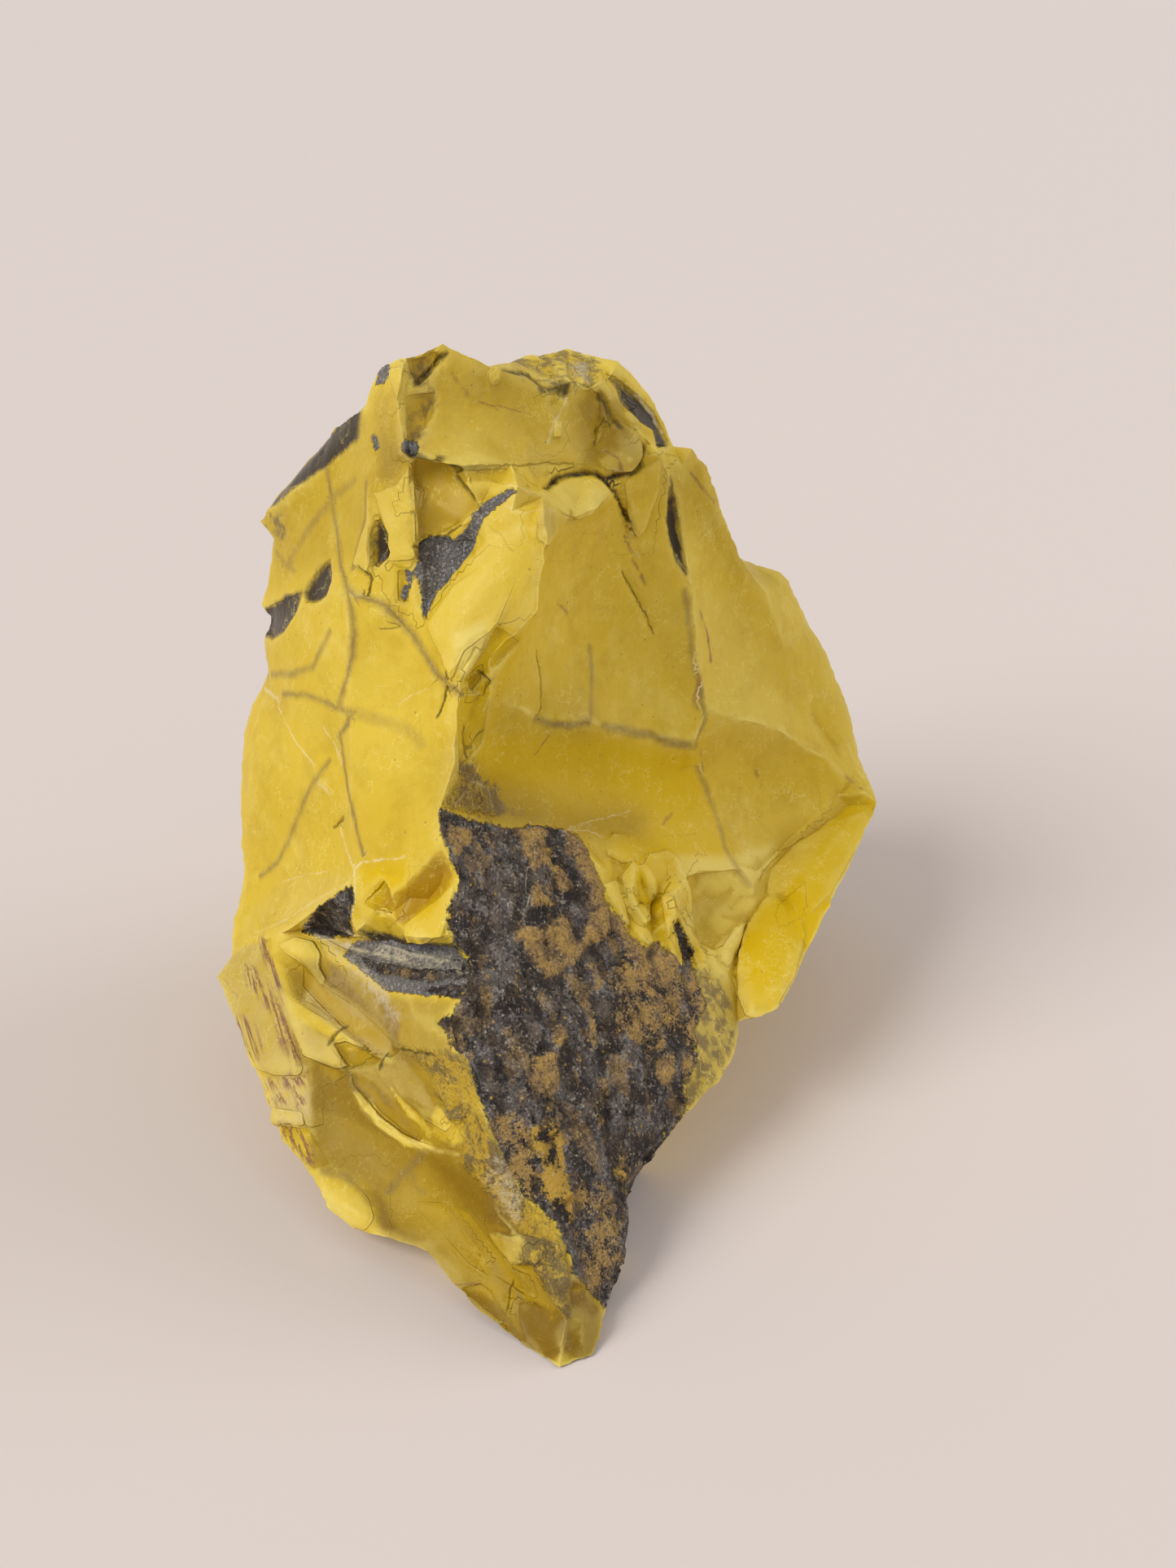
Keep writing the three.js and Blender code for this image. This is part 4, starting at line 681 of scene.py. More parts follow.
# The foot of the big scar and the bright flange at the right.
FLANGE_CHIPS = (
    Chip(((788, 1062, 7), (796, 1051, 7), (815, 1045, 5), (830, 1052, 3), (842, 1070, 0),
        (850, 1110, 2), (842, 1140, 4), (829, 1104, 5), (812, 1100, 6), (800, 1106, 8),
        (791, 1084, 8)), 0.5),
    Chip(((762, 1078, 4), (775, 1061, 5), (788, 1064, 1), (791, 1084, 0), (799, 1108, 3),
        (795, 1134, 6), (788, 1140, 6), (777, 1120, 5), (767, 1100, 5)), 0.3),
    Chip(((738, 1088, 3), (754, 1082, 4), (764, 1090, 2), (770, 1108, 5), (790, 1140, 6),
        (804, 1164, 5), (792, 1162, 3), (764, 1134, 3)), 0.2),
    Chip(((742, 1036, 0), (752, 1024, 4), (790, 1030, 0), (788, 1056, 0), (764, 1062, 4),
        (744, 1052, 4)), 0.1),
    Chip(((845, 1076, -5), (905, 1069, -2), (926, 1096, 1), (930, 1112, 1), (900, 1142, -1),
        (880, 1168, -3), (860, 1156, -6), (850, 1122, -7))),
    Chip(((814, 1106, 5), (828, 1100, 7), (846, 1140, 7), (866, 1178, 6), (872, 1204, 3),
        (860, 1200, 3), (846, 1168, 4), (828, 1128, 5), (822, 1150, 4), (836, 1192, 3),
        (822, 1188, 2)), 0.1),
    Chip(((919, 1130, 5), (900, 1144, 6), (886, 1164, 7), (882, 1182, 6), (893, 1190, 4),
        (903, 1176, 0), (914, 1146, 2)), 0.1),
    Chip(((937, 1108, 6), (960, 1099, 2), (980, 1118, 2), (990, 1150, 3), (976, 1200, 3),
        (950, 1246, 3), (918, 1250, 5), (903, 1216, 6), (906, 1182, 7), (918, 1142, 6)), 0.1),
    Chip(((1038, 992, 2), (1068, 988, 0), (1060, 1030, 1), (1020, 1100, 2), (986, 1134, 1),
        (962, 1098, 4), (940, 1106, 5), (946, 1072, 4), (976, 1041, 5), (1004, 1024, 4)), 0.3),
    Chip(((868, 884, 0), (950, 892, 0), (1000, 930, 0), (1010, 990, -1), (960, 1040, -3),
        (930, 1070, -3), (905, 1060, -2), (880, 990, 0)), -0.2),
)

CHIPS = LOWER_CHIPS + STRIP_CHIPS + CROWN_CHIPS + COLUMN_CHIPS + BULGE_CHIPS + FLANGE_CHIPS


# -- Reading the markings off the stone's surface --


def smooth(value: np.ndarray, low: float, high: float) -> np.ndarray:
    """A smooth rise from 0 at low to 1 at high."""
    share = np.clip((value - low) / (high - low), 0.0, 1.0)
    return share * share * (3.0 - 2.0 * share)


def outline_depth(spots: np.ndarray, outline: Spots) -> np.ndarray:
    """How deep spots lie inside an outline.

    Args:
        spots: Rows of steps right and down.
        outline: Corners of the outline in order.

    Returns:
        Distance to the outline in steps, negative outside it.
    """
    corners = np.array(outline, dtype=float)
    nearest = np.full(len(spots), np.inf)
    inside = np.zeros(len(spots), dtype=bool)
    for start, end in zip(corners, np.roll(corners, -1, axis=0)):
        along = end - start
        share = np.clip((spots - start) @ along / (along @ along), 0.0, 1.0)
        gap = spots - start - share[:, None] * along
        nearest = np.minimum(nearest, np.hypot(gap[:, 0], gap[:, 1]))
        if start[1] != end[1]:
            crossing = start[0] + (spots[:, 1] - start[1]) * along[0] / along[1]
            between = (start[1] > spots[:, 1]) != (end[1] > spots[:, 1])
            inside ^= between & (spots[:, 0] < crossing)
    return np.where(inside, nearest, -nearest)


@dataclass
class Surface:
    """The stone's surface as arrays: points and outward normals in mm, and a ray tree."""

    points: np.ndarray
    normals: np.ndarray
    tree: BVHTree
    view: Viewpoint
    lift: float = 0.15
    grazing: float = 0.04

    def seen(self) -> np.ndarray:
        """Which points the eye sees.

        Returns:
            True for every point in plain view.
        """
        eye = Vector(self.view.eye)
        toward = np.array(self.view.eye) - self.points
        toward /= np.linalg.norm(toward, axis=1)[:, None]
        facing = np.einsum("ij,ij->i", toward, self.normals) > self.grazing
        starts = self.points + self.lift * (self.normals + toward)
        clear = np.zeros(len(self.points), dtype=bool)
        for index in np.flatnonzero(facing):
            start = Vector(starts[index])
            clear[index] = self.tree.ray_cast(start, eye - start)[0] is None
        return clear

    def in_view(self) -> tuple[np.ndarray, np.ndarray]:
        """Where every point lands in the view.

        Returns:
            Rows of steps right and down, and the steps to a millimetre at each point.
        """
        return self.view.spots(self.points), self.view.focal / self.view.depths(self.points)

    def nearest(self, chosen: np.ndarray) -> tuple[np.ndarray, np.ndarray]:
        """For every point, find the nearest of some chosen points.

        Args:
            chosen: The numbers of the chosen points.

        Returns:
            The number of the nearest one, and its distance in mm.
        """
        tree = KDTree(len(chosen))
        for index in chosen:
            tree.insert(self.points[index], int(index))
        tree.balance()
        found = [tree.find(point)[1:] for point in self.points]
        return np.array([index for index, _ in found]), np.array([gap for _, gap in found])

    def cast(self, spot: tuple[float, float]) -> tuple[Vector, Vector] | None:
        """Point and normal of the surface behind a spot of the view, if there is one.

        Args:
            spot: Steps right and down in the view.

        Returns:
            The point and its normal, or None past the stone's edge.
        """
        place, normal, _, _ = self.tree.ray_cast(Vector(self.view.eye), self.view.ray(spot))
        return None if place is None else (place, normal)


@dataclass
class LineMap:
    """Every trace laid on the surface, ready to be measured from any point."""

    surface: Surface
    step: float = 5.0
    reach: float = 3.0

    def lay(self, trace: Trace) -> list[tuple[Vector, Vector, Trace]]:
        """Lay one trace along the surface.

        Args:
            trace: The line to lay.

        Returns:
            Places along it, each with the direction across the line.
        """
        hits = []
        for start, end in zip(trace.path, trace.path[1:]):
            count = max(1, round(math.dist(start, end) / self.step))
            for index in range(count):
                share = index / count
                spot = tuple(a + share * (b - a) for a, b in zip(start, end))
                hits.append(self.surface.cast(spot))
        hits.append(self.surface.cast(trace.path[-1]))
        hits = [hit for hit in hits if hit]
        laid = []
        for index, (place, normal) in enumerate(hits):
            before = hits[max(0, index - 1)][0]
            after = hits[min(len(hits) - 1, index + 1)][0]
            across = normal.cross(after - before)
            if across.length > 0:
                laid.append((place, across.normalized(), trace))
        return laid

    def measure(self) -> tuple[np.ndarray, np.ndarray]:
        """Measure every surface point against the nearest line.

        Returns:
            Rows of offset across, distance and width in mm, and rows of fill, strength, 0.
        """
        laid = [entry for trace in TRACES for entry in self.lay(trace)]
        tree = KDTree(len(laid))
        for index, (place, _, _) in enumerate(laid):
            tree.insert(place, index)
        tree.balance()
        count = len(self.surface.points)
        place_of = np.tile((self.reach, self.reach, 0.0), (count, 1))
        look_of = np.zeros((count, 3))
        for index, point in enumerate(self.surface.points):
            place, near, gap = tree.find(point)
            if gap < self.reach:
                _, across, trace = laid[near]
                offset = (Vector(point) - place).dot(across)
                place_of[index] = (offset, gap, trace.width)
                look_of[index] = (trace.fill.value, trace.strength, 0.0)
        return place_of, look_of


@dataclass
class StainMap:
    """How deep every surface point lies inside each kind of patch, in mm.

    A point out of view takes the depth of the nearest one in plain view, less a share of
    the distance to it.
    """

    surface: Surface
    nearest: np.ndarray
    hidden: np.ndarray
    fade: float = 0.6

    def measure(self) -> dict[Stain, np.ndarray]:
        """Measure all the kinds.

        Returns:
            For each kind, the depth inside its patches, negative outside them.
        """
        spots, per_mm = self.surface.in_view()
        depth_of = {stain: np.full(len(spots), FAR_OUTSIDE) for stain in Stain}
        for patch in PATCHES:
            depth = outline_depth(spots, patch.outline) / per_mm
            depth_of[patch.stain] = np.maximum(depth_of[patch.stain], depth)
        lost = self.fade * self.hidden
        return {
            stain: np.maximum(depth[self.nearest] - lost, FAR_OUTSIDE)
            for stain, depth in depth_of.items()
        }


@dataclass
class ChipMap:
    """Heights of the flakes and flake scars over the surface.

    A lip is half as wide as the step round a chip, and a corner's height holds as far as
    its pull. The margin is what is worked out round a chip, in steps of the view.
    """

    surface: Surface
    gain: float = 1.3
    lip: float = 0.24
    pull: float = 0.35
    round_top: float = 0.5
    margin: float = 20.0

    def lean(self, chip: Chip, spots: np.ndarray, per_mm: np.ndarray) -> np.ndarray:
        """Height inside a chip, leaning between the heights of its corners.

        Args:
            chip: The chip.
            spots: Rows of steps right and down.
            per_mm: Steps to a millimetre at each spot.

        Returns:
            Height for each spot, in mm.
        """
        total = np.zeros(len(spots))
        weight = np.zeros(len(spots))
        for right, down, height in chip.corners:
            gap = np.hypot(spots[:, 0] - right, spots[:, 1] - down) / per_mm
            share = 1.0 / (gap * gap + self.pull**2)
            total += share * (height / TENTHS)
            weight += share
        return total / weight

    def measure(self) -> tuple[np.ndarray, np.ndarray]:
        """Measure all the chips.

        Returns:
            Height of each point in mm; and rows of the distance to the nearest step,
            which is positive on its high side, and of that step's height, and 0.
        """
        spots, per_mm = self.surface.in_view()
        height = np.zeros(len(spots))
        step = np.tile((-FAR_OUTSIDE, 0.0, 0.0), (len(spots), 1))
        for chip in CHIPS:
            outline = tuple((right, down) for right, down, _ in chip.corners)
            low = np.min(outline, axis=0) - self.margin
            high = np.max(outline, axis=0) + self.margin
            close = np.flatnonzero(np.all((spots > low) & (spots < high), axis=1))
            depth = outline_depth(spots[close], outline) / per_mm[close]
            inside = smooth(depth, -self.lip, self.lip)
            lean = self.gain * self.lean(chip, spots[close], per_mm[close])
            dome = smooth(depth, 0.0, max(self.round_top, depth.max()))
            height[close] += inside * (lean + chip.swell * dome)
            nearer = np.abs(depth) < np.abs(step[close, 0])
            side = np.column_stack((depth * np.sign(lean), np.abs(lean), 0.0 * lean))
            step[close] = np.where(nearer[:, None], side, step[close])
        return height, step


@dataclass
class TintMap:
    """How pale, dark and grey the facets in plain view are painted: painted light, shade and
    sheen.
    """

    surface: Surface

    def measure(self) -> np.ndarray:
        """Measure all the tints.

        Returns:
            Rows of lightness, grey sheen, and 0.
        """
        spots, per_mm = self.surface.in_view()
        rows = np.zeros((len(spots), 3))
        for tint in TINTS:
            depth = outline_depth(spots, tint.outline) / per_mm
            share = smooth(depth, -tint.fade, tint.fade)
            rows += share[:, None] * (tint.light, tint.grey_sheen, 0.0)
        return rows


@dataclass(frozen=True)
class Reading:
    """What the stone's points carry: an array for each measure, lengths in mm.

    Attributes:
        stains: Depth inside each kind of patch.
        hidden: Distance round from what is in plain view.
        line_place: Offset across, distance and width of the nearest line.
        line_look: Fill and strength of the nearest line.
        ridge: Distance to the nearest sharp ridge.
        chips: Height of the flakes and flake scars.
        step: Distance to the nearest step of a flake, and that step's height.
        tint: Painted lightness and grey sheen of the facet.
    """

    stains: dict[Stain, np.ndarray]
    hidden: np.ndarray
    line_place: np.ndarray
    line_look: np.ndarray
    ridge: np.ndarray
    chips: np.ndarray
    step: np.ndarray
    tint: np.ndarray


# -- Low relief ------------------------------------

# Spreads neighbouring facets far apart, so that each draws a turn of its own.
SCATTER = 37.0

# Depths in mm at which the relief of a kind of patch starts and is full.
RELIEF_BORDERS = {
    Stain.RIND: (-0.3, 0.8),
    Stain.TAN: (-0.3, 0.4),
    Stain.GOLD: (-0.3, 0.4),
    Stain.CRUMB: (-0.4, 0.8),
    Stain.MINERAL: (-0.3, 0.4),
}


def roughly(points: np.ndarray, size: float, octaves: int = 3) -> np.ndarray:
    """Uneven waves through space.

    Args:
        points: Rows of x, y, z in mm.
        size: Width of one wave in mm.
        octaves: How many finer waves ride on the first.

    Returns:
        One height for each point, about -1 to 1.
    """
    return np.array(
        [noise.fractal(Vector(point) / size, 1.0, 2.0, octaves) for point in points]
    )


def grains(points: np.ndarray, size: float) -> np.ndarray:
    """Blocky grains through space: 0 at a grain's heart, about 1 at its border."""
    return np.array([noise.voronoi(Vector(point) / size)[0][0] for point in points])


def flakes(
    points: np.ndarray, size: float, lean: float, bend: float = 0.35, bend_size: float = 0.7
) -> np.ndarray:
    """Little facets that lean each their own way, with steps between them.

    Args:
        points: Rows of x, y, z in mm.
        size: Width of a facet in mm.
        lean: Slope of a facet.
        bend: How far their borders stray, as a share of the width.
        bend_size: Width of the strays, as a share of the width.

    Returns:
        One height for each point, in mm.
    """
    heights = np.zeros(len(points))
    for index, point in enumerate(points):
        stray = noise.noise_vector(Vector(point) / (bend_size * size))
        bent = Vector(point) / size + bend * stray
        heart = noise.voronoi(bent)[1][0]
        turn = noise.cell_vector(heart * SCATTER) - Vector((0.5, 0.5, 0.5))
        heights[index] = (bent - heart).dot(turn.normalized())
    return heights * size * lean


@dataclass(frozen=True)
class Relief:
    """Heights in mm of the low forms that the fracture left on the stone."""

    drift: float = 0.10
    drift_size: float = 9.0
    roughness: float = 0.045
    roughness_size: float = 3.0
    back_start: float = 1.0
    back_full: float = 9.0
    back_waves: float = 0.10
    back_size: float = 8.0
    flake_lean: float = 0.10
    flake_size: float = 11.0
    flakelet_lean: float = 0.03
    flakelet_size: float = 3.4
    nibble: float = 0.22
    nibble_size: float = 1.5
    nibble_width: float = 0.7
    rind_grain: float = 0.13
    rind_size: float = 1.3
    rind_hollows: float = 0.20
    rind_hollow_size: float = 4.5
    rind_flake_size: float = 3.4
    rind_flake_lean: float = 0.14
    rind_step: float = 0.28
    crumb: float = 0.34
    crumb_size: float = 1.25
    mineral: float = 0.16
    mineral_size: float = 0.9
    mineral_depth: float = 0.6
    groove: float = 0.34
    groove_width: float = 0.35
    ripple: float = 0.06
    ripple_gap: float = 1.15
    ripple_fade: float = 1.2
    ripple_centre: tuple[float, float] = (560.0, 1290.0)
    dish: Spots = (
        (440, 1300), (530, 1310), (575, 1395), (560, 1430), (500, 1408), (455, 1372),
    )

    def heights(self, surface: Surface, reading: Reading) -> np.ndarray:
        """Add up the low forms.

        Args:
            surface: The smooth stone.
            reading: What its points carry.

        Returns:
            Height of each point above the smooth stone.
        """
        points = surface.points
        within = {
            stain: smooth(reading.stains[stain], *border)
            for stain, border in RELIEF_BORDERS.items()
        }
        fine = roughly(points, self.roughness_size)
        height = self.drift * roughly(points, self.drift_size, 1) + self.roughness * fine
        back = smooth(reading.hidden, self.back_start, self.back_full)
        height += self.back_waves * back * roughly(points, self.back_size, 4)
        height += back * flakes(points, self.flake_size, self.flake_lean)
        height += back * flakes(points, self.flakelet_size, self.flakelet_lean)
        chipped = np.exp(-((reading.ridge / self.nibble_width) ** 2))
        height -= self.nibble * chipped * np.abs(roughly(points, self.nibble_size, 2))
        rind = within[Stain.RIND]
        height += self.rind_grain * rind * roughly(points, self.rind_size, 2)
        height += self.rind_hollows * rind * roughly(points, self.rind_hollow_size, 2)
        height += rind * flakes(points, self.rind_flake_size, self.rind_flake_lean)
        bare = within[Stain.TAN] + within[Stain.GOLD]
        height += self.rind_step * rind * (bare - 0.5)
        crumbs = 0.5 - grains(points, self.crumb_size)
        height += self.crumb * within[Stain.CRUMB] * crumbs
        crust = roughly(points, self.mineral_size, 2) - self.mineral_depth
        height += self.mineral * within[Stain.MINERAL] * crust
        height += self.ripples(surface) * (1.0 - back)
        open_line = (reading.line_look[:, 0] == Line.CRACK_AND_SHADOW.value) * reading.line_look[:, 1]
        groove = np.exp(-((reading.line_place[:, 1] / self.groove_width) ** 2))
        height -= self.groove * open_line * groove
        return height

    def ripples(self, surface: Surface) -> np.ndarray:
        """Fine rings that spread over the dish from where the blow fell."""
        spots, per_mm = surface.in_view()
        inside = smooth(outline_depth(spots, self.dish) / per_mm, 0.0, self.ripple_fade)
        away = np.hypot(*(spots - np.array(self.ripple_centre)).T) / per_mm
        return self.ripple * inside * np.sin(away / self.ripple_gap * math.tau)


# -- Shader building -------------------------------


@dataclass(frozen=True)
class Pattern:
    """An uneven pattern: its waves, and their heights at which it starts and is full."""

    size: float
    detail: float
    rough: float
    low: float
    high: float


@dataclass
class Sheet:
    """A material's node tree, to which every node is added in one way.

    Attributes:
        tree: The node tree.
        place: Where a pattern is read, in mm on the piece's own coordinates.
    """

    tree: bpy.types.NodeTree
    place: bpy.types.NodeSocket | None = None

    def node(
        self,
        kind: str,
        settings: dict[str, object] | None = None,
        sockets: dict[str | int, object] | None = None,
    ) -> bpy.types.Node:
        """Add a node.

        Args:
            kind: The node's type.
            settings: Its own settings, set first.
            sockets: Values or links for its inputs, by name or number.

        Returns:
            The new node.
        """
        made = self.tree.nodes.new(kind)
        for name, value in (settings or {}).items():
            setattr(made, name, value)
        for name, value in (sockets or {}).items():
            source = value.socket if isinstance(value, Signal) else value
            if isinstance(source, bpy.types.NodeSocket):
                self.tree.links.new(source, made.inputs[name])
            else:
                made.inputs[name].default_value = source
        return made

    def vector(
        self, operation: str, sockets: dict[str | int, object], output: str | int = 0
    ) -> bpy.types.NodeSocket:
        """Work out a vector.

        Args:
            operation: The Vector Math node's operation.
            sockets: Values or links for its inputs, by name or number.
            output: Which of its outputs is wanted.

        Returns:
            That output.
        """
        made = self.node("ShaderNodeVectorMath", {"operation": operation}, sockets)
        return made.outputs[output]

    def read_place(self) -> None:
        """Let every pattern follow the piece's own coordinates, in mm."""
        coords = self.node("ShaderNodeTexCoord")
        self.place = self.vector("SCALE", {0: coords.outputs["Object"], 3: 1.0 / MM})

    def stretched(
        self, along: tuple[float, float, float], share: float
    ) -> bpy.types.NodeSocket:
        """Squeeze space along a direction, so that a pattern comes out drawn along it.

        Args:
            along: The direction, about one long.
            share: How much of the length is squeezed out.

        Returns:
            The squeezed place.
        """
        reach = self.vector("DOT_PRODUCT", {0: self.place, 1: along}, "Value")
        part = self.vector("SCALE", {0: tuple(share * step for step in along), 3: reach})
        return self.vector("SUBTRACT", {0: self.place, 1: part})

    def maths(self, operation: str, *values: "Signal | float") -> "Signal":
        """Work out a number from others.

        Args:
            operation: The Math node's operation.
            values: Its inputs in order.

        Returns:
            The result.
        """
        inputs = dict(enumerate(values))
        made = self.node("ShaderNodeMath", {"operation": operation}, inputs)
        return Signal(self, made.outputs[0])

    def rise(self, value: "Signal", low: float, high: float) -> "Signal":
        """A smooth rise of a number from 0 at low to 1 at high."""
        made = self.node(
            "ShaderNodeMapRange",
            {"interpolation_type": "SMOOTHSTEP"},
            {"Value": value, "From Min": low, "From Max": high},
        )
        return Signal(self, made.outputs["Result"])

    def around(self, value: "Signal", level: float, low: float, high: float) -> "Signal":
        """1 where a number is within low of a level, falling to 0 at high from it."""
        return 1.0 - self.rise(abs(value - level), low, high)

    def mix(
        self, share: "Signal | float", under: object, over: object
    ) -> bpy.types.NodeSocket:
        """Mix two colours.

        Args:
            share: How much of the second shows.
            under: The first colour.
            over: The second colour.

        Returns:
            The mixed colour.
        """
        made = self.node(
            "ShaderNodeMix", {"data_type": "RGBA"}, {0: share, 6: under, 7: over}
        )
        return made.outputs[2]

    def stored(self, name: str) -> tuple["Signal", "Signal", "Signal"]:
        """Read three numbers that the stone's points carry.

        Args:
            name: The attribute's name.

        Returns:
            The three numbers.
        """
        held = self.node("ShaderNodeAttribute", {"attribute_name": name})
        split = self.node("ShaderNodeSeparateXYZ", None, {0: held.outputs["Vector"]})
        return tuple(Signal(self, output) for output in split.outputs)

    def waves(
        self,
        size: float,
        detail: float,
        rough: float,
        place: bpy.types.NodeSocket | None = None,
    ) -> "Signal":
        """Uneven waves through space.

        Args:
            size: Width of one wave in mm.
            detail: How many finer waves ride on the first.
            rough: How strong the finer waves are.
            place: Where, if not on the piece's own coordinates.

        Returns:
            A number about 0.5, mostly within 0.2 to 0.8.
        """
        made = self.node(
            "ShaderNodeTexNoise",
            None,
            {
                "Vector": place or self.place,
                "Scale": 1.0 / size,
                "Detail": detail,
                "Roughness": rough,
            },
        )
        return Signal(self, made.outputs["Fac"])

    def pattern(
        self, pattern: Pattern, place: bpy.types.NodeSocket | None = None
    ) -> "Signal":
        """Lay an uneven pattern.

        Args:
            pattern: The pattern.
            place: Where, if not on the piece's own coordinates.

        Returns:
            Its mask from 0 to 1.
        """
        waves = self.waves(pattern.size, pattern.detail, pattern.rough, place)
        return self.rise(waves, pattern.low, pattern.high)

    def cells(self, size: float) -> tuple["Signal", "Signal"]:
        """Cells through space.

        Args:
            size: Width of one cell in mm.

        Returns:
            The distance to the cell's heart, and a number of its own from 0 to 1.
        """
        sockets = {"Vector": self.place, "Scale": 1.0 / size}
        made = self.node("ShaderNodeTexVoronoi", None, sockets)
        split = self.node("ShaderNodeSeparateColor", None, {0: made.outputs["Color"]})
        return Signal(self, made.outputs["Distance"]), Signal(self, split.outputs[0])


@dataclass(frozen=True)
class Signal:
    """A number that changes over the stone; arithmetic on it adds Math nodes."""

    sheet: Sheet
    socket: bpy.types.NodeSocket

    def __add__(self, other: "Signal | float") -> "Signal":
        """Sum."""
        return self.sheet.maths("ADD", self, other)

    __radd__ = __add__

    def __sub__(self, other: "Signal | float") -> "Signal":
        """Difference."""
        return self.sheet.maths("SUBTRACT", self, other)

    def __rsub__(self, other: float) -> "Signal":
        """Difference from a plain number."""
        return self.sheet.maths("SUBTRACT", other, self)

    def __mul__(self, other: "Signal | float") -> "Signal":
        """Product."""
        return self.sheet.maths("MULTIPLY", self, other)

    __rmul__ = __mul__

    def __truediv__(self, other: "Signal | float") -> "Signal":
        """Quotient."""
        return self.sheet.maths("DIVIDE", self, other)

    def __abs__(self) -> "Signal":
        """Size without sign."""
        return self.sheet.maths("ABSOLUTE", self)

    def over(self, other: "Signal | float") -> "Signal":
        """The greater of two."""
        return self.sheet.maths("MAXIMUM", self, other)


# -- The stone's finish ----------------------------

Colour = tuple[float, float, float, float]
Masks = dict[str, Signal]


@dataclass(frozen=True)
class Border:
    """The border of a kind of patch: its stray, and the depths where it starts and is full."""

    wander: float
    low: float
    high: float
    loose: bool = False


BORDERS = {
    Stain.RIND: Border(0.9, -0.12, 0.16),
    Stain.TAN: Border(1.2, -0.20, 0.30),
    Stain.GOLD: Border(1.8, -0.20, 0.30),
    Stain.BROWN: Border(1.0, -0.40, 0.70, loose=True),
    Stain.MINERAL: Border(0.6, -0.10, 0.10),
    Stain.SMOKE: Border(0.4, -0.22, 0.40),
    Stain.DUST: Border(0.7, -0.50, 0.80, loose=True),
    Stain.AMBER: Border(0.6, -0.20, 0.50),
    Stain.CRUMB: Border(0.9, -0.30, 0.50),
    Stain.GREY: Border(0.8, -1.20, 1.80, loose=True),
    Stain.PURPLE: Border(0.8, -0.50, 0.60),
    Stain.VIVID: Border(0.5, -1.00, 1.60, loose=True),
}

# What the stone's points carry, three numbers to an attribute.
STORED_STAINS = {
    "stain_outer": (Stain.RIND, Stain.TAN, Stain.GOLD),
    "stain_dark": (Stain.MINERAL, Stain.SMOKE, Stain.BROWN),
    "stain_light": (Stain.DUST, Stain.GREY, Stain.AMBER),
    "stain_deep": (Stain.PURPLE, Stain.VIVID, Stain.CRUMB),
}


def paint(red: float, green: float, blue: float) -> Colour:
    """An opaque colour from linear red, green and blue."""
    return (red, green, blue, 1.0)


@dataclass(frozen=True)
class Patterns:
    """The uneven patterns that break up the jasper, its stains, its rind and its lines."""

    drift: Pattern = Pattern(17.0, 3.0, 0.55, 0.36, 0.66)
    clouds: Pattern = Pattern(4.2, 4.0, 0.60, 0.42, 0.72)
    milky: Pattern = Pattern(6.5, 5.0, 0.68, 0.50, 0.74)
    specks: Pattern = Pattern(0.42, 3.0, 0.70, 0.60, 0.78)
    # Breaks up the rubbing of ridges and the painted highlight on flake rims.
    wear_and_highlight: Pattern = Pattern(3.6, 2.0, 0.50, 0.40, 0.62)
    streaks: Pattern = Pattern(0.42, 3.0, 0.60, 0.47, 0.56)
    blotches: Pattern = Pattern(7.5, 4.0, 0.60, 0.64, 0.68)
    rind_bands: Pattern = Pattern(1.5, 4.0, 0.62, 0.44, 0.60)
    rind_ash: Pattern = Pattern(2.2, 5.0, 0.60, 0.44, 0.58)
    rind_rust: Pattern = Pattern(2.6, 4.0, 0.60, 0.54, 0.59)
    chalk_breaks: Pattern = Pattern(1.3, 2.0, 0.60, 0.32, 0.50)
    vein_fades: Pattern = Pattern(2.8, 2.0, 0.60, 0.28, 0.62)
    vein_flecks: Pattern = Pattern(0.5, 2.0, 0.60, 0.60, 0.68)
    threads: Pattern = Pattern(9.0, 2.0, 0.50, 0.50, 0.60)
    nicks: Pattern = Pattern(2.6, 2.0, 0.50, 0.54, 0.64)
    scrapes: Pattern = Pattern(5.0, 2.0, 0.50, 0.40, 0.58)


@dataclass(frozen=True)
class Shares:
    """How much of each layer shows where its mask is full, from the jasper outwards."""

    drift: float = 0.75
    clouds: float = 0.38
    milky: float = 0.30
    vivid: float = 0.92
    grey: float = 0.60
    specks: float = 0.36
    dots: float = 0.55
    sunk: float = 0.55
    proud: float = 0.22
    # Painted shadow on the low side of flake steps.
    under: float = 0.10
    # Rubbed ridges, with painted highlight on flake rims.
    wear_and_highlight: float = 0.50
    crumb: float = 0.70
    amber: float = 0.80
    purple: float = 0.80
    smoke: float = 0.97
    brown: float = 0.72
    sparkle: float = 0.55
    mineral: float = 0.95
    blotches: float = 0.85
    dust: float = 0.62
    rind_light: float = 0.60
    rind_bands: float = 0.60
    rind_golden: float = 0.50
    rind_rust: float = 0.45
    rind_half: float = 0.90
    rind_tan: float = 0.95
    rind_gold: float = 0.95
    rind_glint: float = 0.75
    rind_fleck: float = 0.85
    rind_sunk: float = 0.65
    thread: float = 0.60
    scrape: float = 0.55
    halo: float = 0.34
    fleck: float = 0.35


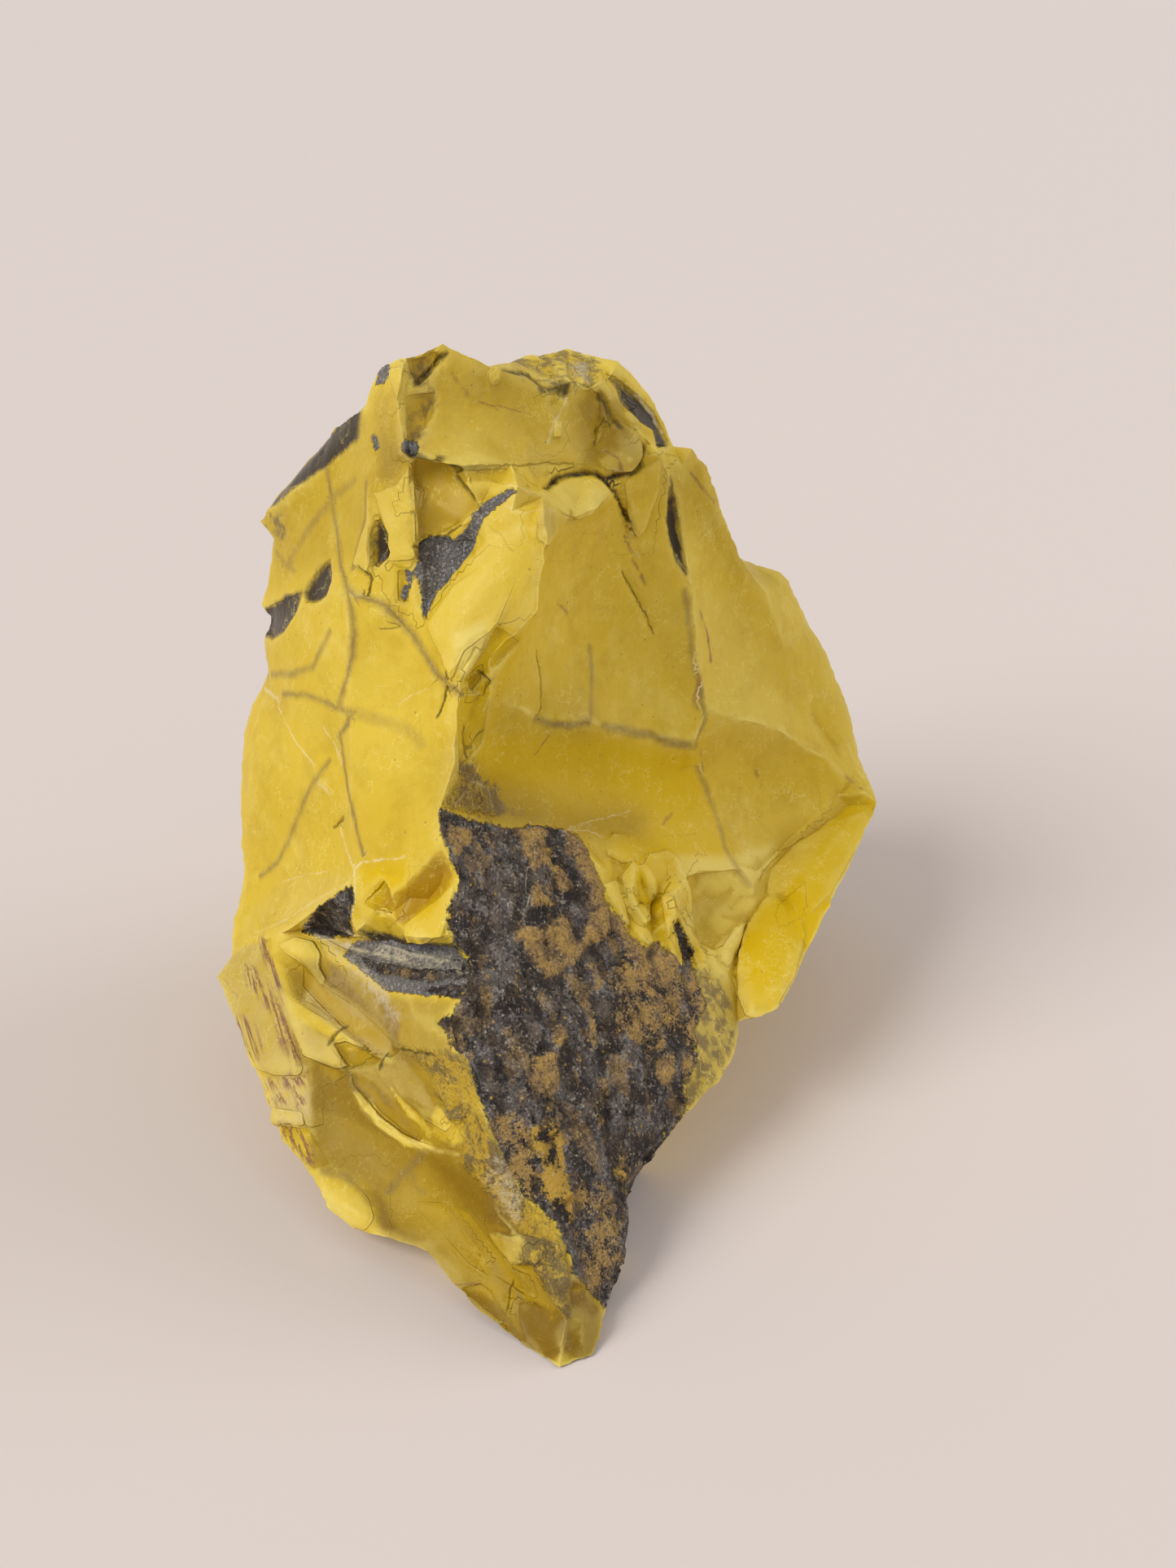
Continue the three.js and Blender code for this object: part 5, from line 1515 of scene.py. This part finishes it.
@dataclass(frozen=True)
class JasperFinish:
    """Waxy yellow jasper with its veins, dark mineral, dusty joints and weathered rind, and the
    painted light, shade and sheen of its facets.
    """

    name: str = "mookaite"
    yellow: Colour = paint(0.620, 0.435, 0.026)
    bright: Colour = paint(0.690, 0.510, 0.055)
    honey: Colour = paint(0.450, 0.285, 0.003)
    # Painted shade of facets turned from the lamps, and painted shadow below flake steps.
    umber_shade: Colour = paint(0.200, 0.110, 0.001)
    vivid: Colour = paint(0.650, 0.440, 0.001)
    olive: Colour = paint(0.420, 0.320, 0.085)
    # Pale bruising of the jasper, also the painted light of lit facets and of flake rims.
    bruise_and_highlight: Colour = paint(0.790, 0.650, 0.180)
    # Greyish painted sheen of facets that mirror the lamps.
    sheen_grey: Colour = paint(0.560, 0.440, 0.200)
    rind_dark: Colour = paint(0.026, 0.021, 0.019)
    rind_ash: Colour = paint(0.150, 0.137, 0.131)
    rind_light: Colour = paint(0.420, 0.370, 0.310)
    rind_brown: Colour = paint(0.100, 0.066, 0.038)
    tan: Colour = paint(0.420, 0.275, 0.115)
    gold: Colour = paint(0.500, 0.310, 0.050)
    mineral_dark: Colour = paint(0.110, 0.110, 0.120)
    mineral_light: Colour = paint(0.500, 0.490, 0.490)
    smoke: Colour = paint(0.032, 0.022, 0.017)
    brown: Colour = paint(0.130, 0.088, 0.050)
    dust: Colour = paint(0.560, 0.490, 0.350)
    amber: Colour = paint(0.400, 0.225, 0.012)
    crumb: Colour = paint(0.560, 0.370, 0.040)
    # Dark cracks, and painted shadow below the crown's overhang.
    crack_and_shadow: Colour = paint(0.022, 0.014, 0.008)
    vein: Colour = paint(0.230, 0.150, 0.050)
    chalk: Colour = paint(0.800, 0.710, 0.480)
    purple: Colour = paint(0.170, 0.055, 0.055)
    patterns: Patterns = Patterns()
    shares: Shares = Shares()
    streak_along: tuple[float, float, float] = (0.335, -0.859, -0.387)
    streak_squeeze: float = 0.96
    rind_along: tuple[float, float, float] = (0.193, -0.639, -0.744)
    rind_squeeze: float = 0.42
    specular: float = 0.16
    subsurface: float = 0.06
    subsurface_reach: tuple[float, float, float] = (1.0, 0.62, 0.12)
    subsurface_scale: float = 0.0012

    def material(self) -> bpy.types.Material:
        """Build the material.

        Returns:
            The finished material.
        """
        material = bpy.data.materials.new(self.name)
        material.use_nodes = True
        material.node_tree.nodes.clear()
        sheet = Sheet(material.node_tree)
        sheet.read_place()
        masks = self.masks(sheet)
        colour = self.body_colour(sheet, masks)
        colour = self.stain_colour(sheet, masks, colour)
        colour = self.rind_colour(sheet, masks, colour)
        colour = self.line_colour(sheet, masks, colour)
        height = self.bump_height(sheet, masks)
        bump = sheet.node(
            "ShaderNodeBump", None, {"Strength": 1.0, "Distance": MM, "Height": height}
        )
        shader = sheet.node(
            "ShaderNodeBsdfPrincipled",
            None,
            {
                "Base Color": colour,
                "Roughness": self.roughness(sheet, masks),
                "Specular IOR Level": self.specular,
                "Normal": bump.outputs[0],
                "Subsurface Weight": self.subsurface,
                "Subsurface Radius": self.subsurface_reach,
                "Subsurface Scale": self.subsurface_scale,
            },
        )
        sheet.node("ShaderNodeOutputMaterial", None, {0: shader.outputs[0]})
        return material

    def masks(self, sheet: Sheet) -> Masks:
        """Turn what the points carry into masks with uneven borders.

        Args:
            sheet: The material's nodes.

        Returns:
            Masks from 0 to 1 by name, and the fill of the nearest line.
        """
        stray = sheet.waves(2.4, 4.0, 0.62) - 0.5
        grit = sheet.waves(0.45, 2.0, 0.6) - 0.5
        masks = self.stain_masks(sheet, stray, grit)
        masks["bare"] = 1.0 - masks["rind"].over(masks["mineral"])
        masks.update(self.form_masks(sheet, stray, grit, masks["bare"]))
        masks.update(self.line_masks(sheet, grit))
        return masks

    def stain_masks(self, sheet: Sheet, stray: Signal, grit: Signal) -> Masks:
        """Masks of the patches, with borders that stray.

        Args:
            sheet: The material's nodes.
            stray: Broad unevenness about 0.
            grit: Fine unevenness about 0.

        Returns:
            A mask for each kind of patch.
        """
        tight = stray * 1.6 + grit * 0.9
        loose = stray * 5.0 + grit * 1.0
        masks = {}
        for name, stains in STORED_STAINS.items():
            for stain, depth in zip(stains, sheet.stored(name)):
                border = BORDERS[stain]
                wandering = depth + (loose if border.loose else tight) * border.wander
                masks[stain.value] = sheet.rise(wandering, border.low, border.high)
        return masks

    def form_masks(self, sheet: Sheet, stray: Signal, grit: Signal, bare: Signal) -> Masks:
        """Masks that follow the stone's own form: facets with their painted light, shade and
        sheen, hollows, ridges, and steps with painted shadow below and painted highlight above.

        Args:
            sheet: The material's nodes.
            stray: Broad unevenness about 0.
            grit: Fine unevenness about 0.
            bare: Where neither rind nor mineral covers the jasper.

        Returns:
            The masks by name.
        """
        ridge, hidden, hollow = sheet.stored("form")
        side, height, _ = sheet.stored("step")
        # The facets' painted light, shade and grey sheen, from their tints.
        light, grey_sheen, _ = sheet.stored("tint")
        shade = sheet.rise(light * -1.0 + grit * 0.1, 0.0, 1.0)
        rim = 1.0 - sheet.rise(ridge - stray * 0.5 - grit * 0.5, 0.05, 0.34)
        tall = sheet.rise(height, 0.10, 0.55)
        rough_side = side + grit * 0.16
        # The high side of a flake's step is a painted highlight, joined to the rubbed ridges.
        flake_rim = sheet.around(rough_side, 0.10, 0.05, 0.16) * tall
        rubbed_and_lit = rim.over(flake_rim * 0.9) * sheet.pattern(self.patterns.wear_and_highlight) * bare
        crisp = sheet.rise(side + grit * 0.08, -0.09, 0.09) - sheet.rise(side, -0.24, 0.24)
        return {
            "hidden": sheet.rise(hidden, 2.0, 9.0),
            "sunk": sheet.rise(hollow + grit * 0.06, 0.03, 0.26),
            "proud": sheet.rise(grit * 0.10 - hollow, 0.05, 0.22),
            "light": sheet.rise(light + grit * 0.1, 0.0, 1.0),
            "shade": shade,
            # Painted sheen, broken up unevenly.
            "grey_sheen": grey_sheen * (sheet.rise(stray + grit * 0.6, -0.22, 0.14) * 0.7 + 0.4),
            # Painted shadow on the low side of a flake's step.
            "under": sheet.around(rough_side, -0.13, 0.05, 0.28) * tall,
            "step": crisp * height,
            "wear_and_highlight": rubbed_and_lit * (1.0 - shade * 0.5),
        }

    def line_masks(self, sheet: Sheet, grit: Signal) -> Masks:
        """Masks of the thin lines, with the fill of the nearest line.

        Args:
            sheet: The material's nodes.
            grit: Fine unevenness about 0.

        Returns:
            The masks by name.
        """
        across, near, width = sheet.stored("line_place")
        fill, strength, _ = sheet.stored("line_look")
        filled = self.reaches(sheet, fill, Line.VEIN)
        chalky = self.reaches(sheet, fill, Line.CHALK)
        veined = filled * (1.0 - chalky)
        bend = sheet.waves(1.5, 4.0, 0.65) - 0.5
        wobble = across + bend * 0.85 + grit * 0.14
        thick = width * sheet.waves(2.2, 2.0, 0.5) * 1.9
        soft = width * 0.50 + veined * 0.16 + 0.08
        edge = (thick * 0.5 - abs(wobble)) / soft
        close = 1.0 - sheet.rise(near, 0.60, 1.10)
        gaps = chalky * (1.0 - sheet.pattern(self.patterns.chalk_breaks))
        faint = sheet.pattern(self.patterns.vein_fades).over((1.0 - filled) * 0.8)
        uneven = (1.0 - gaps * 0.85) * (faint * 0.6 + 0.4)
        line = sheet.rise(edge, -0.75, 0.80) * close * strength * uneven
        return {
            "fill": fill,
            "line": line,
            "halo": sheet.around(wobble, 0.0, 0.1, 0.9) * close * strength * veined,
            "fleck": line * veined * sheet.pattern(self.patterns.vein_flecks),
        }

    def reaches(self, sheet: Sheet, fill: Signal, line: Line) -> Signal:
        """1 where a line's fill is the given one or one after it, else 0."""
        return sheet.rise(fill, line.value - 0.6, line.value - 0.4)

    def body_colour(self, sheet: Sheet, masks: Masks) -> bpy.types.NodeSocket:
        """Colour of the fresh jasper, before stains, with the painted light, shade and sheen of
        its facets and the painted shadow and highlight at flake steps.

        Args:
            sheet: The material's nodes.
            masks: Masks by name.

        Returns:
            The colour.
        """
        patterns, shares = self.patterns, self.shares
        pits, own = sheet.cells(1.2)
        dots = (1.0 - sheet.rise(pits, 0.04, 0.14)) * sheet.rise(own, 0.64, 0.70)
        colour = self.yellow
        for share, over in (
            (sheet.pattern(patterns.drift) * shares.drift, self.bright),
            (sheet.pattern(patterns.clouds) * shares.clouds, self.honey),
            (sheet.pattern(patterns.milky) * shares.milky, self.bruise_and_highlight),
            (masks["vivid"] * shares.vivid, self.vivid),
            (masks["grey"] * shares.grey, self.olive),
            # Painted light, shade and sheen of the facets.
            (masks["light"], self.bruise_and_highlight),
            (masks["shade"], self.umber_shade),
            (masks["grey_sheen"], self.sheen_grey),
            (sheet.pattern(patterns.specks) * shares.specks, self.bruise_and_highlight),
            (dots * shares.dots, self.brown),
            # Darker in hollows, paler on bumps.
            (masks["sunk"] * shares.sunk, self.honey),
            (masks["proud"] * shares.proud, self.bruise_and_highlight),
            # Painted shadow below flake steps.
            (masks["under"] * shares.under, self.umber_shade),
            # Rubbed ridges, with painted highlight on flake rims.
            (masks["wear_and_highlight"] * shares.wear_and_highlight, self.bruise_and_highlight),
        ):
            colour = sheet.mix(share, colour, over)
        return colour

    def stain_colour(
        self, sheet: Sheet, masks: Masks, colour: bpy.types.NodeSocket
    ) -> bpy.types.NodeSocket:
        """Lay the mineral patches, dust and crumbly ground over the jasper.

        Args:
            sheet: The material's nodes.
            masks: Masks by name.
            colour: The jasper's colour.

        Returns:
            The colour with the stains.
        """
        patterns, shares = self.patterns, self.shares
        grain = sheet.waves(0.50, 3.0, 0.65)
        coarse = sheet.waves(1.9, 4.0, 0.6)
        _, facet = sheet.cells(0.24)
        pitted = sheet.rise(coarse * 0.6 + grain * 0.4 - masks["proud"] * 0.1, 0.39, 0.52)
        crumb = sheet.mix(pitted, self.brown, self.crumb)
        flow = sheet.stretched(self.streak_along, self.streak_squeeze)
        streaks = masks["purple"] * sheet.pattern(patterns.streaks, flow)
        brown = masks["brown"] * sheet.rise(coarse, 0.40, 0.56)
        sparkle = sheet.rise(facet, 0.35, 1.0) * sheet.rise(grain, 0.36, 0.60)
        mineral = sheet.mix(sparkle * shares.sparkle, self.mineral_dark, self.mineral_light)
        blotches = masks["hidden"] * sheet.pattern(patterns.blotches)
        dusty = masks["dust"] * sheet.rise(grain * 0.6 + coarse * 0.4, 0.40, 0.58)
        for share, over in (
            (masks["crumb"] * shares.crumb, crumb),
            (masks["amber"] * shares.amber, self.amber),
            (streaks * shares.purple, self.purple),
            (masks["smoke"] * shares.smoke, self.smoke),
            (brown * shares.brown, self.brown),
            (masks["mineral"] * shares.mineral, mineral),
            (blotches * shares.blotches, mineral),
            (dusty * shares.dust, self.dust),
        ):
            colour = sheet.mix(share, colour, over)
        return colour

    def rind_colour(
        self, sheet: Sheet, masks: Masks, colour: bpy.types.NodeSocket
    ) -> bpy.types.NodeSocket:
        """Lay the weathered rind over the rest.

        Args:
            sheet: The material's nodes.
            masks: Masks by name.
            colour: The colour below the rind.

        Returns:
            The colour with the rind.
        """
        patterns, shares = self.patterns, self.shares
        fine = sheet.waves(0.26, 3.0, 0.7)
        coarse = sheet.waves(1.9, 4.0, 0.6)
        heart, own = sheet.cells(0.34)
        big, lone = sheet.cells(0.8)
        flow = sheet.stretched(self.rind_along, self.rind_squeeze)
        bands = sheet.pattern(patterns.rind_bands, flow)
        ashy = sheet.pattern(patterns.rind_ash, flow)
        rusted = sheet.pattern(patterns.rind_rust, flow)
        sandy = fine * 0.50 + own * 0.12 + coarse * 0.38
        golden = sheet.rise(coarse, 0.42, 0.60) * shares.rind_golden
        tan = sheet.mix(golden, self.tan, self.gold)
        rusty = sheet.mix(sheet.rise(sandy, 0.34, 0.60), self.rind_brown, tan)
        half = masks["brown"] * sheet.rise(coarse * 0.6 + fine * 0.4, 0.46, 0.52)
        dotted = sheet.rise(coarse * 0.7 + fine * 0.3, 0.41, 0.50)
        gilded = sheet.mix(dotted, self.rind_dark, self.gold)
        glint = (1.0 - sheet.rise(heart, 0.12, 0.34)) * sheet.rise(own, 0.86, 0.90)
        fleck = (1.0 - sheet.rise(big, 0.12, 0.26)) * sheet.rise(lone, 0.84, 0.88)
        rind = self.rind_dark
        for share, over in (
            (ashy * sheet.rise(sandy, 0.36, 0.56), self.rind_ash),
            (sheet.rise(sandy, 0.51, 0.64) * shares.rind_light, self.rind_light),
            (bands * sheet.rise(sandy, 0.40, 0.52) * shares.rind_bands, self.rind_brown),
            (rusted * shares.rind_rust, rusty),
            (half * shares.rind_half, rusty),
            (masks["tan"] * shares.rind_tan, rusty),
            (masks["gold"] * shares.rind_gold, gilded),
            (glint * shares.rind_glint, self.dust),
            (fleck * shares.rind_fleck, self.gold),
            # Darker in the rind's hollows.
            (masks["sunk"] * shares.rind_sunk, self.rind_dark),
        ):
            rind = sheet.mix(share, rind, over)
        return sheet.mix(masks["rind"], colour, rind)

    def line_colour(
        self, sheet: Sheet, masks: Masks, colour: bpy.types.NodeSocket
    ) -> bpy.types.NodeSocket:
        """Draw the thin lines over everything.

        Args:
            sheet: The material's nodes.
            masks: Masks by name.
            colour: The colour below the lines.

        Returns:
            The finished colour.
        """
        patterns, shares = self.patterns, self.shares
        web = sheet.around(sheet.waves(6.0, 3.0, 0.5), 0.5, 0.004, 0.013)
        thread = web * sheet.pattern(patterns.threads) * masks["hidden"] * masks["bare"]
        nick = sheet.around(sheet.waves(1.7, 4.0, 0.6), 0.44, 0.003, 0.016)
        scrape = sheet.around(sheet.waves(4.0, 5.0, 0.62), 0.47, 0.002, 0.009)
        scrape = scrape.over(nick * sheet.pattern(patterns.nicks))
        scrape = scrape * sheet.pattern(patterns.scrapes) * masks["bare"]
        scrape = scrape * (1.0 - masks["shade"])
        ink = self.crack_and_shadow
        for line, filling in (
            (Line.VEIN, self.vein),
            (Line.CHALK, self.chalk),
            (Line.PURPLE, self.purple),
        ):
            ink = sheet.mix(self.reaches(sheet, masks["fill"], line), ink, filling)
        for share, over in (
            (thread * shares.thread, self.vein),
            (scrape * shares.scrape, self.bruise_and_highlight),
            (masks["halo"] * shares.halo, self.brown),
            (masks["line"], ink),
            (masks["fleck"] * shares.fleck, self.chalk),
        ):
            colour = sheet.mix(share, colour, over)
        return colour

    def bump_height(self, sheet: Sheet, masks: Masks) -> Signal:
        """Height in mm of the finest relief.

        Args:
            sheet: The material's nodes.
            masks: Masks by name.

        Returns:
            The height.
        """
        waxy = sheet.waves(1.1, 4.0, 0.62)
        grit = sheet.waves(0.30, 2.0, 0.6)
        cell, own = sheet.cells(0.42)
        broken = (masks["rind"] + masks["mineral"]).over(masks["crumb"])
        height = waxy * (broken * 0.24 + 0.10) + grit * (broken * 0.30 + 0.030)
        height = height + (own * 0.12 - cell * 0.10) * (masks["mineral"] + masks["crumb"] * 0.9)
        dark_line = masks["line"] * (1.0 - sheet.rise(masks["fill"], 0.1, 0.6))
        return height - dark_line * 0.20 + masks["step"] * 0.45

    def roughness(self, sheet: Sheet, masks: Masks) -> Signal:
        """How matt the stone is.

        Args:
            sheet: The material's nodes.
            masks: Masks by name.

        Returns:
            The roughness.
        """
        _, own = sheet.cells(0.24)
        glint = sheet.rise(own, 0.78, 0.95)
        body = sheet.waves(3.0, 3.0, 0.6) * 0.22 + 0.36
        coated = masks["rind"] * 0.06 + masks["dust"] * 0.15 + masks["wear_and_highlight"] * 0.12
        shiny = (masks["mineral"] + masks["rind"]) * glint * 0.34
        glassy = masks["smoke"] * 0.18 + masks["amber"] * 0.22
        return body + coated - shiny - glassy


# -- The stone -------------------------------------


@dataclass
class Stone:
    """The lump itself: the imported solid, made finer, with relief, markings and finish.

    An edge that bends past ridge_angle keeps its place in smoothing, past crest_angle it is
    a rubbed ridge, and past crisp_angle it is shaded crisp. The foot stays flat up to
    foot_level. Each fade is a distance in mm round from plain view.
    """

    view: Viewpoint
    relief: Relief
    finish: JasperFinish
    name: str = "mookaite_stone"
    near_cuts: int = 4
    far_cuts: int = 2
    ridge_angle: float = math.radians(17.0)
    crest_angle: float = math.radians(30.0)
    smooth_rounds: int = 16
    # Rounds of smoothing that find the hollows, which are coloured darker, and the bumps, paler.
    hollow_rounds: int = 24
    crisp_angle: float = math.radians(42.0)
    foot_level: float = 0.02
    line_fade: tuple[float, float] = (1.0, 2.5)
    chip_fade: float = 1.2
    tint_fade: float = 4.0

    def solid_copy(self) -> bmesh.types.BMesh:
        """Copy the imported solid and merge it.

        Returns:
            The solid in metres, with its ridges marked as seams and its crests as sharp.
        """
        work = bmesh.new()
        work.from_mesh(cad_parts["stone"].data)
        bmesh.ops.remove_doubles(work, verts=work.verts, dist=0.01 * MM)
        bmesh.ops.triangulate(work, faces=work.faces)
        for edge in work.edges:
            angle = edge.calc_face_angle(0.0)
            edge.seam = angle > self.ridge_angle
            edge.smooth = not (angle > self.crest_angle and edge.is_convex)
        return work

    def surface(self, work: bmesh.types.BMesh) -> Surface:
        """Read the surface off a mesh.

        Args:
            work: The mesh in metres.

        Returns:
            Its surface in mm.
        """
        work.normal_update()
        work.verts.index_update()
        points = np.array([vert.co[:] for vert in work.verts]) / MM
        normals = np.array([vert.normal[:] for vert in work.verts])
        faces = [[vert.index for vert in face.verts] for face in work.faces]
        tree = BVHTree.FromPolygons([Vector(point) for point in points], faces)
        return Surface(points, normals, tree, self.view)

    def refine(self, work: bmesh.types.BMesh) -> None:
        """Cut the faces finer, most of all those in plain view, and smooth between ridges.

        Args:
            work: The solid in metres.
        """
        seen = self.surface(work).seen()
        in_view = [face for face in work.faces if any(seen[vert.index] for vert in face.verts)]
        near = {edge for face in in_view for edge in face.edges}
        far = [edge for edge in work.edges if edge not in near]
        bmesh.ops.subdivide_edges(work, edges=far, cuts=self.far_cuts, use_grid_fill=True)
        near = [edge for edge in near if edge.is_valid]
        bmesh.ops.subdivide_edges(work, edges=near, cuts=self.near_cuts, use_grid_fill=True)
        bmesh.ops.triangulate(work, faces=work.faces)
        held = {vert for edge in work.edges if edge.seam for vert in edge.verts}
        foot = self.foot_level * MM
        free = [vert for vert in work.verts if vert not in held and vert.co.z > foot]
        self.calm(work, free, self.smooth_rounds)

    def calm(
        self, work: bmesh.types.BMesh, verts: list[bmesh.types.BMVert], rounds: int
    ) -> None:
        """Smooth some points of a mesh.

        Args:
            work: The mesh.
            verts: The points that may move.
            rounds: How many times.
        """
        for _ in range(rounds):
            bmesh.ops.smooth_vert(
                work, verts=verts, factor=0.5, use_axis_x=True, use_axis_y=True, use_axis_z=True
            )

    def read(self, work: bmesh.types.BMesh, surface: Surface) -> Reading:
        """Measure everything that the points carry, before the relief is raised.

        Args:
            work: The smooth stone.
            surface: Its surface.

        Returns:
            The measures, faded where the eye doesn't reach.
        """
        seen = surface.seen()
        LOG.info("points %d, in plain view %d", len(seen), int(seen.sum()))
        nearest, hidden = surface.nearest(np.flatnonzero(seen))
        line_place, line_look = LineMap(surface).measure()
        line_look[:, 1] *= 1.0 - smooth(hidden, *self.line_fade)
        chips, step = ChipMap(surface).measure()
        shown = 1.0 - smooth(hidden, 0.0, self.chip_fade)
        step[:, 1] *= shown
        tint = TintMap(surface).measure()
        tint *= 1.0 - smooth(hidden, 0.0, self.tint_fade)[:, None]
        crest = {vert.index for edge in work.edges if not edge.smooth for vert in edge.verts}
        return Reading(
            stains=StainMap(surface, nearest, hidden).measure(),
            hidden=hidden,
            line_place=line_place,
            line_look=line_look,
            ridge=surface.nearest(np.array(sorted(crest)))[1],
            chips=chips * shown,
            step=step,
            tint=tint,
        )

    def shape(self, work: bmesh.types.BMesh, surface: Surface, reading: Reading) -> None:
        """Raise the relief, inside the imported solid's own box, and mark the crisp edges.

        Args:
            work: The smooth stone, which is changed.
            surface: Its surface.
            reading: What its points carry.
        """
        height = self.relief.heights(surface, reading) + reading.chips
        height[surface.points[:, 2] < self.foot_level] = 0.0
        low = np.array(CAD_LOW) / MM
        high = np.array(CAD_HIGH) / MM
        moved = np.clip(surface.points + surface.normals * height[:, None], low, high)
        for vert, place in zip(work.verts, moved * MM):
            vert.co = place
        work.normal_update()
        for edge in work.edges:
            edge.smooth = edge.calc_face_angle(0.0) < self.crisp_angle
        for face in work.faces:
            face.smooth = True

    def hollows(self, work: bmesh.types.BMesh) -> np.ndarray:
        """How far every point lies below its surroundings, in mm."""
        surface = self.surface(work)
        calmed = work.copy()
        self.calm(calmed, list(calmed.verts), self.hollow_rounds)
        moved = np.array([vert.co[:] for vert in calmed.verts]) / MM
        calmed.free()
        return np.einsum("ij,ij->i", moved - surface.points, surface.normals)

    def build(self) -> bpy.types.Object:
        """Build the dressed stone.

        Returns:
            The stone's object.
        """
        work = self.solid_copy()
        self.refine(work)
        surface = self.surface(work)
        reading = self.read(work, surface)
        self.shape(work, surface, reading)
        hollow = self.hollows(work)
        mesh = bpy.data.meshes.new(self.name)
        work.to_mesh(mesh)
        work.free()
        for name, kinds in STORED_STAINS.items():
            self.store(mesh, name, np.column_stack([reading.stains[kind] for kind in kinds]))
        self.store(mesh, "form", np.column_stack((reading.ridge, reading.hidden, hollow)))
        self.store(mesh, "line_place", reading.line_place)
        self.store(mesh, "line_look", reading.line_look)
        self.store(mesh, "step", reading.step)
        self.store(mesh, "tint", reading.tint)
        mesh.materials.append(self.finish.material())
        piece = bpy.data.objects.new(self.name, mesh)
        bpy.context.scene.collection.objects.link(piece)
        return piece

    def store(self, mesh: bpy.types.Mesh, name: str, rows: np.ndarray) -> None:
        """Give every point of the mesh three numbers.

        Args:
            mesh: The stone's mesh.
            name: The attribute's name.
            rows: Three numbers for each point.
        """
        held = mesh.attributes.new(name, "FLOAT_VECTOR", "POINT")
        held.data.foreach_set("vector", rows.astype(np.float32).ravel())


# -- Floor and light -------------------------------


@dataclass(frozen=True)
class Lamp:
    """A broad soft light from far away: the way to it, and how wide it looks in degrees."""

    name: str
    toward: tuple[float, float, float]
    strength: float
    spread: float
    colour: tuple[float, float, float]

    def hang(self) -> None:
        """Put the lamp into the scene."""
        light = bpy.data.lights.new(self.name, "SUN")
        light.energy = self.strength
        light.angle = math.radians(self.spread)
        light.color = self.colour
        holder = bpy.data.objects.new(self.name, light)
        holder.location = self.toward
        holder.rotation_euler = Vector(self.toward).to_track_quat("Z", "Y").to_euler()
        bpy.context.scene.collection.objects.link(holder)


@dataclass
class Studio:
    """A pale floor under soft light: two broad lamps, and an even glow all round."""

    floor_size: float = 60.0
    floor_colour: Colour = paint(0.690, 0.620, 0.595)
    floor_roughness: float = 0.85
    glow_colour: Colour = paint(1.0, 0.965, 0.945)
    glow: float = 0.50
    lamps: tuple[Lamp, ...] = (
        Lamp("left_lamp", (-0.64, -0.44, 0.62), 2.1, 35.0, (1.0, 0.98, 0.94)),
        Lamp("right_lamp", (0.90, 0.25, 0.50), 0.95, 45.0, (1.0, 0.98, 0.95)),
    )

    def floor(self) -> bpy.types.Object:
        """Lay the floor.

        Returns:
            The floor's object.
        """
        work = bmesh.new()
        bmesh.ops.create_grid(work, x_segments=1, y_segments=1, size=self.floor_size / 2)
        mesh = bpy.data.meshes.new("floor")
        work.to_mesh(mesh)
        work.free()
        material = bpy.data.materials.new("pale_floor")
        material.use_nodes = True
        material.node_tree.nodes.clear()
        sheet = Sheet(material.node_tree)
        sockets = {"Base Color": self.floor_colour, "Roughness": self.floor_roughness}
        shader = sheet.node("ShaderNodeBsdfPrincipled", None, sockets)
        sheet.node("ShaderNodeOutputMaterial", None, {0: shader.outputs[0]})
        mesh.materials.append(material)
        floor = bpy.data.objects.new("floor", mesh)
        bpy.context.scene.collection.objects.link(floor)
        return floor

    def light(self) -> None:
        """Hang the lamps and set the even glow."""
        for lamp in self.lamps:
            lamp.hang()
        world = bpy.data.worlds.new("even_glow")
        world.use_nodes = True
        back = world.node_tree.nodes["Background"]
        back.inputs["Color"].default_value = self.glow_colour
        back.inputs["Strength"].default_value = self.glow
        bpy.context.scene.world = world
        bpy.context.scene.view_settings.view_transform = "Standard"


def main() -> None:
    """Build the scene."""
    noise.seed_set(SEED)
    view = Viewpoint()
    view.camera()
    studio = Studio()
    studio.light()
    floor = studio.floor()
    LOG.info("floor %s is %.0f m wide", floor.name, studio.floor_size)
    stone = Stone(view, Relief(), JasperFinish()).build()
    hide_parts("stone")
    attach(stone, "root")
    LOG.info("%s has %d triangles", stone.name, len(stone.data.polygons))


if __name__ == "__main__":
    logging.basicConfig(level=logging.INFO, format="%(name)s: %(message)s")
    main()
